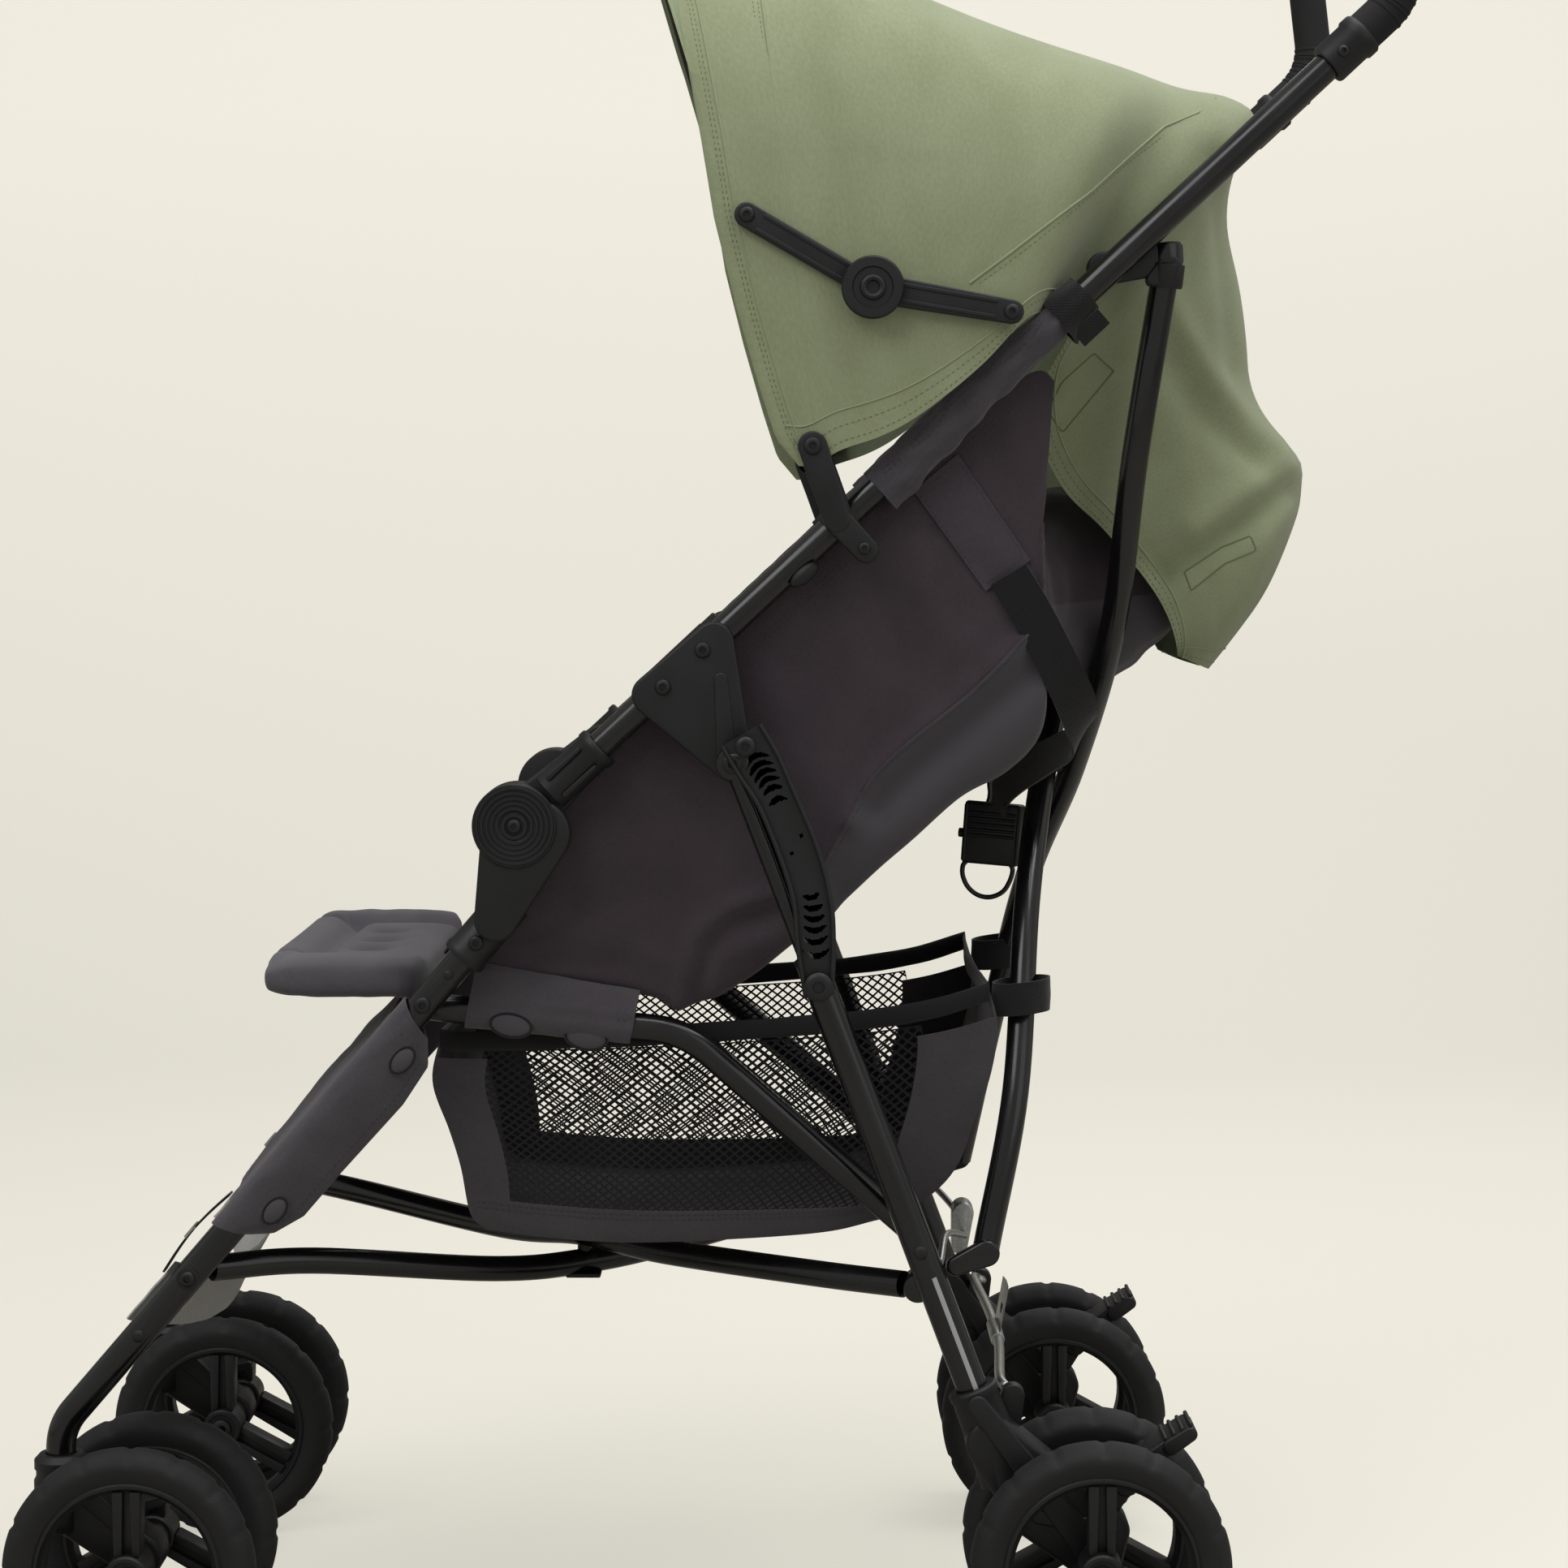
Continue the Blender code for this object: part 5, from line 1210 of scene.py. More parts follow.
def canopy_relief(p, share):
    y, z = p.y + SHIFT, p.z
    loose = clamped((share - 0.5) / 0.16)
    sway = ripple(p.x * 16, y * 9, z * 9) * (0.0008 + 0.003 * loose)
    sway += ripple(p.x * 46, y * 30, z * 18 + 5) * (0.0003 + 0.0013 * loose)
    for line, depth, width in FOLDS:
        sway += depth * fold_hump(y, z, line, width) * min(abs(p.x) / 0.05, 1.0)
    calm = min(share / 0.04, 1.0)
    under_stay = 0.35 if abs(p.x) > 0.176 and y < 0.245 else 1.0
    return sway * calm * under_stay


if cloth_normals(rows)[DOWN // 4][ACROSS // 2].z < 0:
    rows = [row[::-1] for row in rows]
    bow_line.reverse()
    bow_out.reverse()
hem = [brim_row(share, OVER_BOW - 0.0014) for share in (0.48, 0.32, 0.16, 0.02)]
hem += [brim_row(0.0, OVER_BOW - 0.0009, -0.0004), brim_row(0.0, OVER_BOW - 0.0004, -0.0004)]
rows = hem + shifted(rows, canopy_relief)
add_cloth(rows, 0.0006, back=1)
canopy_tree = BVHTree.FromBMesh(bench)


def on_canopy(route, back_by=0.0, up_by=0.0):
    """The nearest points of the canopy to a route moved back and up."""
    return [canopy_tree.find_nearest(p + Vector((0, back_by, up_by)))[0] for p in route]


for back_by in (0.0072, 0.0094):
    add_stitches(on_canopy(brim_row(0.0, OVER_BOW + 0.001, back_by)), 2)
add_ridge(on_canopy(brim_row(0.0, OVER_BOW + 0.001, 0.0125)))
front_seam = spaced(through(arch(*HOOPS[0][:3], 16), 5), ACROSS)
for nudge in (0.0, 0.003):
    add_stitches(on_canopy(front_seam, nudge, 0.002), 2)
add_ridge(on_canopy(front_seam, 0.0055, 0.002), 0.0008)
for j in (1, 3, ACROSS - 4, ACROSS - 2):
    add_stitches([row[j] for row in rows[8:]], 2)
for j in (5, ACROSS - 6):
    add_ridge([row[j] for row in rows[8:]])
add_stitches(rows[-2], 2)
add_ridge(rows[-4])
REAR_SEAM = ((0.208, 0.833), (0.231, 0.85), (0.279, 0.887), (0.307, 0.913), (0.34, 0.942))
over_top = on_canopy([at(*p) for p in (
    (0.112, 0.352, 0.95), (0.08, 0.364, 0.957), (0.04, 0.372, 0.96), (0.0, 0.375, 0.961),
)])
near = on_cloth(canopy_tree, REAR_SEAM, 1)[:-3] + over_top
rear_seam = near + mirrored(near[:-1])
add_ridge(rear_seam, 0.0008)
add_stitches(on_canopy(rear_seam, 0.002, -0.003), 2)
PATCHES = (
    ((0.2995, 0.7864), (0.2868, 0.7966), (0.2674, 0.7792), (0.2588, 0.7622), (0.2686, 0.7491), (0.2995, 0.7864)),
    ((0.3472, 0.6648), (0.37, 0.68), (0.3884, 0.6872), (0.392, 0.6782), (0.372, 0.67), (0.3513, 0.6534),
     (0.3472, 0.6648)),
)
for sign in (1, -1):
    for patch in PATCHES:
        add_ridge(on_cloth(canopy_tree, patch, sign), 0.0005, 2)
canopy = finish_piece(
    "canopy_cloth", [canopy_sage, canopy_lining, sage_thread], "", sharp=60, replaces=True
)
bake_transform(canopy)

# Canopy sleeves
# Padded sleeves of the seat cloth on the push tubes, under the canopy. Each is closed along the tube
# with touch tape, puckers where it bends the cloth, and ends in a woven band at the top.
# Charcoal polyester, threads 0.5 mm apart
seat_cloth = woven("charcoal_polyester", "#4A464C", "#524E54", 0.001, 0.00012)
webbing = woven("black_webbing", "#141315", "#1C1B1D", 0.0024, 0.0003)
seat_thread = woven("charcoal_thread", "#39353B", "#413C43", 0.0004, 0.00003)


def sleeve_rows(sign, start, end, count, width, puff):
    """Rows round the push tube from one distance to the other, with a width(share) each."""
    def point(i, j):
        share, turn = i / (count - 1), 2 * pi * j / 40
        distance = start + (end - start) * share
        radius = width(share) + puff * ripple(cos(turn) * 2.0 + sign * 7, sin(turn) * 2.0, distance * 60)
        drop = 0.006 * (1 - share) ** 3
        offset = radius * cos(turn) + drop * (cos(turn) - 1) * 0.6
        return at(sign * PUSH_X + radius * 0.92 * sin(turn), *push(distance, offset))

    return rows_of(count, 40, point)


for side, sign, across, x in SIDES:
    rows = sleeve_rows(sign, 0.292, 0.44, 60, lambda s: 0.0104 + 0.0016 * sin(pi * s), 0.0026)
    add_cloth(rows, 0.001, closed=True)
    tree = BVHTree.FromBMesh(bench)
    for turn in (0.9, 1.3):
        line = [
            at(sign * (PUSH_X + 0.03 * sin(turn)), *push(0.3 + 0.13 * s / 12, 0.03 * cos(turn))) for s in range(13)
        ]
        add_stitches([tree.find_nearest(p)[0] for p in line], 1)
    sleeve = finish_piece("push_tube_sleeve." + side, [seat_cloth, seat_thread], "push_frame")

    rows = sleeve_rows(sign, 0.436, 0.459, 14, lambda s: 0.0124 + 0.0006 * sin(pi * s), 0.0008)
    add_cloth(rows, 0.0012, closed=True)
    tail = [
        [at(sign * (PUSH_X + out), *push(0.4475 + d, -0.0116 - drop)) for d in (-0.01, -0.003, 0.003, 0.01)]
        for out, drop in ((0.006, 0.0), (0.0055, 0.003), (0.0045, 0.007), (0.003, 0.011))
    ]
    add_cloth(tail, 0.0014)
    band = finish_piece("sleeve_band." + side, webbing, "push_frame")

# Seat sling
# A deep sling of dark polyester. Its sides are sewn round the push tubes and its underside is
# pulled down to the seat tubes, so that it hangs slack and creased behind and below the sitter.
SLING = (
    ((-0.103, 0.437), (-0.098, 0.4255)), ((-0.085, 0.462), (-0.069, 0.4235)),
    ((-0.064, 0.492), (-0.04, 0.42)), (push(0.035, -0.008), (-0.012, 0.4145)),
    (push(0.085, -0.008), (0.014, 0.409)), (push(0.13, -0.008), (0.036, 0.4025)),
    (push(0.165, -0.008), (0.052, 0.404)), (push(0.205, -0.008), (0.076, 0.419)),
    (push(0.245, -0.008), (0.101, 0.439)), (push(0.285, -0.008), (0.127, 0.459)),
    (push(0.322, -0.008), (0.165, 0.495)), (push(0.358, -0.008), (0.204, 0.529)),
    (push(0.388, -0.01), (0.233, 0.545)), (push(0.402, -0.012), (0.253, 0.568)),
    (push(0.408, -0.014), (0.258, 0.598)), (push(0.412, -0.018), (0.254, 0.63)),
    (push(0.412, -0.026), (0.252, 0.665)),
)
SIDE_STEPS, BASE_STEPS = 44, 40
controls = []
for upper, lower in SLING:
    (ay, az), (by, bz) = upper, lower
    half = [
        at(out, ay + (by - ay) * share, az + (bz - az) * share)
        for out, share in ((0.1545, 0.0), (0.153, 0.12), (0.15, 0.5), (0.148, 0.88), (0.145, 0.97))
    ]
    side_line = spaced(through(half, 8), SIDE_STEPS)
    edge = side_line[-1]
    corner = [edge, at(0.139, by, bz), at(0.12, by + (ay - by) * 0.01, bz + 0.0005)]
    base_line = spaced(through([*corner, at(0, by, bz + 0.001)], 8), BASE_STEPS)
    line = side_line + base_line[1:]
    controls.append(line + mirrored(line[:-1]))
DOWN = 150
rows = lofted(controls, 8, DOWN)
SEAT_FOLDS = (
    (((0.2435, 0.626), (0.2136, 0.595), (0.1749, 0.5634), (0.1531, 0.5415), (0.1385, 0.5161)), 0.0038, 0.0055),
    (((0.25, 0.606), (0.2136, 0.578), (0.18, 0.548), (0.156, 0.524)), -0.005, 0.008),
    (((0.1385, 0.5161), (0.1215, 0.4853), (0.124, 0.464)), 0.003, 0.006),
    (((0.1069, 0.4755), (0.0679, 0.4633), (0.0484, 0.4485), (0.042, 0.4289), (0.036, 0.404)), 0.0048, 0.005),
    (((0.098, 0.466), (0.064, 0.454), (0.054, 0.44), (0.048, 0.41)), -0.004, 0.006),
    (((0.085, 0.444), (0.062, 0.433), (0.056, 0.416)), 0.0026, 0.005),
    (((-0.095, 0.433), (-0.05, 0.435), (0.0, 0.43), (0.033, 0.418)), -0.0028, 0.007),
    (((-0.045, 0.445), (0.015, 0.456)), 0.0016, 0.009),
    (((0.07, 0.62), (0.1, 0.59), (0.11, 0.55)), 0.0016, 0.012),
    (((0.124, 0.61), (0.15, 0.57), (0.15, 0.54)), -0.0018, 0.012),
    (((0.17, 0.7), (0.185, 0.64), (0.23, 0.61)), 0.002, 0.01),
    (((0.19, 0.69), (0.235, 0.65)), -0.002, 0.007),
)


def sling_relief(p, share):
    y, z = p.y + SHIFT, p.z
    sway = ripple(p.x * 8, y * 14, z * 14) * 0.0024
    sway += ripple(p.x * 20, (y + z) * 16, (y - z) * 40) * 0.0008
    if abs(p.x) > 0.12:
        for line, depth, width in SEAT_FOLDS:
            sway += depth * fold_hump(y, z, line, width)
    from_tube = (y - FOLD[0]) * sin(PUSH_ANGLE) - (z - FOLD[1]) * cos(PUSH_ANGLE) - 0.008
    return sway * clamped(from_tube / 0.03)


rows = shifted(facing(rows, DOWN // 2, 20, Vector((1, 0, 0))), sling_relief)
add_cloth(rows, 0.0011)
sling_tree = BVHTree.FromBMesh(bench)
SEAMS = (
    ((-0.1, 0.429), (-0.059, 0.4255), (-0.0006, 0.416), (0.032, 0.4065)),
    ((-0.1, 0.432), (-0.059, 0.4285), (-0.0006, 0.419), (0.032, 0.4095)),
    ((0.2435, 0.6285), (0.2136, 0.5975), (0.1749, 0.5659), (0.1511, 0.5435), (0.1365, 0.5181)),
)
PIPING = (
    ((0.248, 0.629), (0.2435, 0.626), (0.2136, 0.595), (0.1749, 0.5634), (0.1531, 0.5415), (0.1385, 0.5161),
     (0.1225, 0.487)),
    ((-0.101, 0.427), (-0.059, 0.4232), (-0.0006, 0.4132), (0.032, 0.404)),
)
for sign in (1, -1):
    for seam in SEAMS:
        add_stitches(on_cloth(sling_tree, seam, sign), 1)
    for piping in PIPING:
        route = through([Vector((0, *p)) for p in piping], 4)
        line = on_cloth(sling_tree, [(p.y, p.z) for p in route], sign)
        add_bar(line, 0.0011, 4)
    for offset in (-0.0185, -0.0215):
        tube_seam = [push(reach, offset) for reach in (0.06, 0.12, 0.18, 0.24, 0.3, 0.36, 0.4)]
        add_stitches(on_cloth(sling_tree, tube_seam, sign), 1)
# Coated polyester with a plum cast, threads 0.5 mm apart
sling_cloth = woven("plum_charcoal_polyester", "#3D343B", "#453C43", 0.001, 0.00012)
# Below the piping the panel is cut from the charcoal cloth of the pads, a shade lighter and greyer
tree = sling_cloth.node_tree
shader = next(node for node in tree.nodes if node.type == "BSDF_PRINCIPLED")
plum = shader.inputs["Base Color"].links[0].from_socket
places = add_node(tree, "TexCoord")
parts = add_node(tree, "SeparateXYZ", links={"Vector": (places, "Object")})
along = add_node(tree, "Math", values={1: 0.2 + SHIFT}, links={0: (parts, "Y")}, operation="ADD")
height = add_node(tree, "FloatCurve", links={"Value": along})
marks = [(0.0, 0.3), (0.118, 0.3), (0.119, 0.478), *PIPING[0][::-1][:-1], (0.26, 0.644), (0.8, 0.7)]
points = height.mapping.curves[0].points
while len(points) < len(marks):
    points.new(0.5, 0.5)
for point, (y, z) in zip(points, marks):
    point.location = (y + 0.2, z)
    point.handle_type = "VECTOR"
height.mapping.update()
over = add_node(tree, "Math", links={0: (parts, "Z"), 1: height}, operation="SUBTRACT")
upper = add_node(tree, "MapRange", values={"From Min": -0.0005, "From Max": 0.0005}, links={"Value": over})
cut = add_node(tree, "Mix", links={0: upper}, data_type="RGBA")
cut.inputs[6].default_value = (*linear("#4B474D"), 1.0)
tree.links.new(plum, cut.inputs[7])
tree.links.new(cut.outputs[2], shader.inputs["Base Color"])
sling = finish_piece(
    "seat_sling", [sling_cloth, seat_thread], "push_frame", sharp=60, replaces="seat_base"
)


def crumple_seat(piece):
    """Gives the piece a mesh of its own."""
    (y, z), (up_y, up_z) = push(0.0), push(0.0, 1.0)
    at(0, y, z)
    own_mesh(piece)


crumple_seat(sling)

# Cuffs of the sling
# Where the sling meets each push tube a hem is wrapped round it and pressed shut, with an oval
# press-stud cover, and a stiffened patch on each side takes the end of the recline strap.
def add_oval(half_sizes, place):
    """A flattened ball."""
    shape = bmesh.new()
    bmesh.ops.create_uvsphere(shape, u_segments=32, v_segments=16, radius=1.0)
    bmesh.ops.scale(shape, vec=half_sizes, verts=shape.verts)
    add_shape(shape, place)


patch_cloth = woven("coated_charcoal_patch", "#443E45", "#4B454C", 0.001, 0.0001)
for side, sign, across, x in SIDES:
    def seam_point(i, j):
        distance, turn = 0.06 + (0.3 - 0.06) * i / 89, radians(200 + 10 * j)
        radius = 0.0089 + 0.0005 * ripple(j * 0.3, sign * 3, distance * 90)
        return at(sign * (PUSH_X + radius * sin(turn)), *push(distance, radius * cos(turn)))

    add_cloth(rows_of(90, 15, seam_point), 0.0009)
    cuff = finish_piece("seat_cuff." + side, seat_cloth, "push_frame")

    stud = at(sign * 0.1715, *push(0.226, -0.0085))
    add_oval((0.0035, 0.0105, 0.0048), Matrix.Translation(stud) @ Matrix.Rotation(radians(40), 4, "X"))
    finish_piece("stud_cover." + side, nylon, "push_frame")

    patch = ((0.1768, 0.7134), (0.2032, 0.735), (0.2469, 0.6724), (0.2205, 0.6541))
    corners = [Vector((0, *p)) for p in patch]

    def patch_point(i, j):
        left, right = corners[0].lerp(corners[3], i / 17), corners[1].lerp(corners[2], i / 17)
        spot = left.lerp(right, j / 11)
        hit = sling_tree.ray_cast(at(sign * 0.4, spot.y, spot.z), -across)[0]
        return (hit or at(sign * 0.15, spot.y, spot.z)) + across * 0.0016

    add_cloth(facing(rows_of(18, 12, patch_point), 5, 5, across), 0.0014)
    tree = BVHTree.FromBMesh(bench)
    middle = sum(corners, Vector()) / 4
    inset = [tuple((p + (middle - p) * 0.1).yz) for p in [*corners, corners[0]]]
    add_stitches(on_cloth(tree, inset, sign), 1)
    patch_piece = finish_piece("strap_patch." + side, [patch_cloth, seat_thread], "push_frame")
    crumple_seat(patch_piece)

# Gathered hood of the seat
# The back of the sling is gathered on elastic and tucked through the cross braces, under the flap.
controls = []
for (fy, fz), (ry, rz), half in (
    ((0.248, 0.7), (0.256, 0.606), 0.118), ((0.266, 0.716), (0.286, 0.596), 0.082),
    ((0.293, 0.714), (0.306, 0.596), 0.07), ((0.318, 0.698), (0.328, 0.615), 0.066),
    ((0.338, 0.672), (0.348, 0.632), 0.054), ((0.345, 0.656), (0.349, 0.64), 0.038),
):
    ring = []
    for j in range(56):
        turn = 2 * pi * j / 56
        across, up = cos(turn), sin(turn)
        middle_y, middle_z = (fy + ry) / 2, (fz + rz) / 2
        pull = abs(up) ** 0.8 * (1 if up > 0 else -1)
        wide = half * abs(across) ** 0.7 * (1 if across > 0 else -1)
        ring.append(at(wide, middle_y + (fy - ry) / 2 * pull, middle_z + (fz - rz) / 2 * pull))
    controls.append(ring)
rows = lofted(controls, 6, 44)


def gather(p, share):
    pucker = ripple(p.x * 70, p.y * 14, p.z * 34) * 0.0042
    pucker += ripple(p.x * 24, p.y * 60, p.z * 60) * 0.0024
    return pucker * min(share / 0.2, 1.0)


rows = shifted(rows, gather, closed=True)
add_cloth(rows, 0.001, closed=True)
gathered = finish_piece("seat_hood", sling_cloth, "push_frame", sharp=60)
crumple_seat(gathered)

# Seat pad and backrest pad
# Thin pads of foam in the same cloth, quilted across. The seat pad lies in the sling and the backrest
# pad leans on the recline strap, so it tips back with it.
pad_cloth = woven("quilted_pad_cloth", "#57545A", "#615E64", 0.001, 0.00014, source="object")


def add_pad(line, half_width, thickness, channels):
    """A quilted pad that follows a side line, crowned between its seams."""
    count, across = len(line), 40
    front, rear = [], []
    for i, spot in enumerate(line):
        ahead = line[min(i + 1, count - 1)] - line[max(i - 1, 0)]
        up = Vector((0, -ahead.z, ahead.y)).normalized()
        share = i / (count - 1)
        ends = min(share, 1 - share) * 2
        crown = min(1.0, (ends / 0.08) ** 0.5) if ends < 0.08 else 1.0
        quilt = min(abs(share - seam) for seam in channels)
        dip = 0.42 * hump(quilt, 0.022)
        upper, lower = [], []
        for j in range(across + 1):
            side_share = 2 * j / across - 1
            edge = max(1 - abs(side_share) ** 7, 0.0) ** 0.5
            swell = thickness * (0.22 + 0.78 * crown * edge * (1 - dip * min(edge, 1.0)))
            swell *= 0.9 + 0.1 * cos(side_share * pi / 2)
            swell += 0.0006 * ripple(side_share * 5, spot.y * 60, spot.z * 60)
            base = at(half_width * side_share, spot.y, spot.z)
            upper.append(base + up * swell)
            lower.append(base)
        front.append(upper)
        rear.append(lower)
    shape = bmesh.new()
    grids = [[[shape.verts.new(p) for p in row] for row in grid] for grid in (front, rear)]
    for grid, way in zip(grids, (1, -1)):
        for above, below in zip(grid, grid[1:]):
            for j in range(across):
                shape.faces.new((above[j], above[j + 1], below[j + 1], below[j])[::way])
    rim = []
    for grid in grids:
        rim.append(grid[0] + [row[-1] for row in grid[1:]] + grid[-1][-2::-1] + [row[0] for row in grid[-2:0:-1]])
    for j in range(len(rim[0])):
        k = (j + 1) % len(rim[0])
        shape.faces.new((rim[0][j], rim[0][k], rim[1][k], rim[1][j]))
    add_shape(shape)


def along_line(points, count=60):
    """Even steps along a smooth line of the side layout."""
    return spaced(through([Vector((0, *p)) for p in points], 8), count)


seat_line = along_line(((-0.098, 0.43), (-0.05, 0.4255), (0.0, 0.418), (0.03, 0.412)))
add_pad(seat_line, 0.134, 0.015, (0.25, 0.5, 0.75))
seat_pad = finish_piece("seat_pad", pad_cloth, "push_frame")
crumple_seat(seat_pad)
back_line = along_line((
    (0.05, 0.42), (0.122, 0.468), (0.201, 0.537), (0.24, 0.592), (0.248, 0.65), (0.249, 0.716),
), 120)
add_pad(back_line, 0.136, 0.016, (0.14, 0.28, 0.42, 0.56, 0.7, 0.84))
back_pad = finish_piece("backrest_pad", pad_cloth, "seat_back", replaces="seat_back")
crumple_seat(back_pad)

# Recline strap and buckle
# A woven strap runs from the patch on each side, round behind the backrest, to a ribbed slide buckle
# with a wire ring. Pulling the ring through the buckle sets the slope of the back.
buckle_plastic = moulded("ribbed_buckle_nylon", "#121214", "#1B1B1E", 0.38, 0.55, 2000.0, 0.00012)
STRAP = (
    (0.153, 0.2337, 0.664), (0.153, 0.247, 0.642), (0.148, 0.264, 0.61), (0.138, 0.276, 0.585),
    (0.118, 0.28, 0.566), (0.08, 0.265, 0.552), (0.045, 0.248, 0.538), (0.026, 0.238, 0.526),
    (0.021, 0.236, 0.512),
)
for side, sign, across, x in SIDES:
    route = spaced(through([at(sign * x, y, z) for x, y, z in STRAP], 8), 70)
    rows = []
    for i, p in enumerate(route):
        ahead = (route[min(i + 1, 69)] - route[max(i - 1, 0)]).normalized()
        turned = i / 69
        wide = Vector((sign * (0.2 - 0.2 * turned), 0.72 - 0.72 * turned, 0.45 + 0.55 * turned))
        wide = (wide - ahead * wide.dot(ahead)).normalized()
        half = 0.0125
        rows.append([p + wide * half * (j / 6 - 1) for j in range(13)])
    add_cloth(rows, 0.0016)
    strap = finish_piece("recline_strap." + side, webbing, "push_frame", sharp=50)
buckle_at = at(0, 0.2345, 0.496)
turn = Matrix.Translation(buckle_at) @ Matrix.Rotation(radians(-4), 4, "X") @ Matrix.Rotation(radians(-12), 4, "Z")
shape = bmesh.new()
bmesh.ops.create_cube(shape, size=1.0)
bmesh.ops.scale(shape, vec=(0.013, 0.04, 0.04), verts=shape.verts)
for vert in shape.verts:
    if vert.co.x > 0:
        vert.co.y *= 0.9
bmesh.ops.bevel(shape, geom=shape.edges[:], offset=0.0024, segments=4, affect="EDGES", profile=0.5, material=-1)
add_shape(shape, turn)
for rib in range(5):
    add_bar([turn @ Vector((0.0064, y, 0.013 - rib * 0.0036)) for y in (-0.015, 0.0, 0.015)], 0.0011, 4)
for way in (1, -1):
    add_bar([turn @ Vector((0.0052, way * 0.017, z)) for z in (-0.018, 0.0, 0.018)], 0.0016, 4)
add_pin(turn @ Vector((0, -0.022, -0.001)), turn @ Vector((0, -0.018, -0.001)), 0.003, 0.0006, 20)
finish_piece("recline_buckle", buckle_plastic, "push_frame")
ring = [(-0.015, -0.0185), (-0.0175, -0.0225), (-0.017, -0.029), (-0.013, -0.036), (-0.006, -0.0405),
        (0.002, -0.041), (0.0095, -0.037), (0.0135, -0.03), (0.015, -0.0225), (0.013, -0.0185)]
add_bar(through([turn @ Vector((0.001, y, z)) for y, z in ring], 6), 0.0016, 4)
finish_piece("recline_ring", tube_coat, "push_frame")

# Leg rest
# A pad of soft foam in quilted cloth: rolled sides and front, a sunken middle held down by tufts, and
# corners gathered to points. It is blown up by a cloth simulation that is held still at its seams.
PAD_HALF, PAD_REAR, PAD_FRONT, PAD_MIDDLE = 0.14, -0.118, -0.216, 0.42
block_shape = bmesh.new()
bmesh.ops.create_cube(block_shape, size=1.0)
bmesh.ops.bevel(
    block_shape, geom=block_shape.edges[:], offset=0.14, segments=3, affect="EDGES", profile=0.5, material=-1
)
for vert in block_shape.verts:
    vert.co = at(
        vert.co.x * 2 * PAD_HALF, (PAD_REAR + PAD_FRONT) / 2 + vert.co.y * (PAD_REAR - PAD_FRONT),
        PAD_MIDDLE + vert.co.z * 0.027,
    )
mesh = bpy.data.meshes.new("legrest_pad_shape")
block_shape.to_mesh(mesh)
block_shape.free()
slack = bpy.data.objects.new("legrest_pad_shape", mesh)
scene.collection.objects.link(slack)
even = slack.modifiers.new("even", "REMESH")
even.mode = "VOXEL"
even.voxel_size = 0.0045
mesh = bpy.data.meshes.new_from_object(slack.evaluated_get(bpy.context.evaluated_depsgraph_get()))
bpy.data.objects.remove(slack)
TUFT_Y = (PAD_REAR + PAD_FRONT) / 2 + 0.006
held_down = {}
for vert in mesh.vertices:
    x, y = vert.co.x, vert.co.y + SHIFT
    seam = min(abs(abs(x) - 0.1), abs(y - PAD_FRONT - 0.026))
    if abs(x) > 0.1:
        seam = abs(abs(x) - 0.1) if y > PAD_FRONT + 0.02 else 0.03
    tuft = min(hypot(x - spot, y - TUFT_Y) for spot in (-0.048, 0.0, 0.048))
    pinch = max(0.8 * hump(seam, 0.0055), 0.92 * hump(tuft, 0.0085))
    inner = abs(x) < 0.1 and y > PAD_FRONT + 0.026
    vert.co.z = PAD_MIDDLE + (vert.co.z - PAD_MIDDLE) * (1 - pinch) - (0.005 if inner else 0.0)
    if seam < 0.0028 or tuft < 0.0055:
        held_down[vert.index] = 1.0
slack = bpy.data.objects.new("legrest_pad_slack", mesh)
scene.collection.objects.link(slack)
before = [vert.co.copy() for vert in mesh.vertices]
pins = slack.vertex_groups.new(name="seams")
pins.add(list(held_down), 1.0, "ADD")
stuffing = slack.modifiers.new("stuffing", "CLOTH")
stuffing.settings.use_pressure = True
stuffing.settings.uniform_pressure_force = 4.0
stuffing.settings.vertex_group_mass = "seams"
stuffing.settings.quality = 6
stuffing.settings.effector_weights.gravity = 0.0
for step in range(1, 21):
    scene.frame_set(step)
blown = slack.evaluated_get(bpy.context.evaluated_depsgraph_get())
after = [vert.co.copy() for vert in blown.data.vertices]
slack.modifiers.remove(stuffing)
scene.frame_set(1)
bench.from_mesh(mesh)
bpy.data.objects.remove(slack)
MOST = 0.008
for vert, old, new in zip(bench.verts, before, after):
    move = new - old
    if move.length > MOST:
        move *= MOST / move.length
    vert.co = old + move
for vert in bench.verts:
    x, y = vert.co.x, vert.co.y + SHIFT
    for sign in (1, -1):
        pull = hump(hypot(x - sign * PAD_HALF, y - PAD_FRONT), 0.012)
        vert.co += Vector((sign * 0.007, -0.007, 0.0)) * pull
        vert.co.z = PAD_MIDDLE + (vert.co.z - PAD_MIDDLE) * (1 - 0.55 * pull)
    rolled = clamped((abs(x) - 0.1) / 0.012)
    vert.co.z += 0.0012 * ripple(x * 40, y * 90, 3.0) * rolled
    root = clamped((y - PAD_REAR + 0.02) / 0.02)
    vert.co.z -= 0.004 * root * (1 if vert.co.z < PAD_MIDDLE else 0.2)
bmesh.ops.smooth_vert(bench, verts=bench.verts, factor=0.3, use_axis_x=True, use_axis_y=True, use_axis_z=True)
legrest = finish_piece("legrest_pad", pad_cloth, "legrest", sharp=180, replaces=True)
smoother = legrest.modifiers.new("finer", "SUBSURF")
smoother.levels = 1
smoother.render_levels = 1

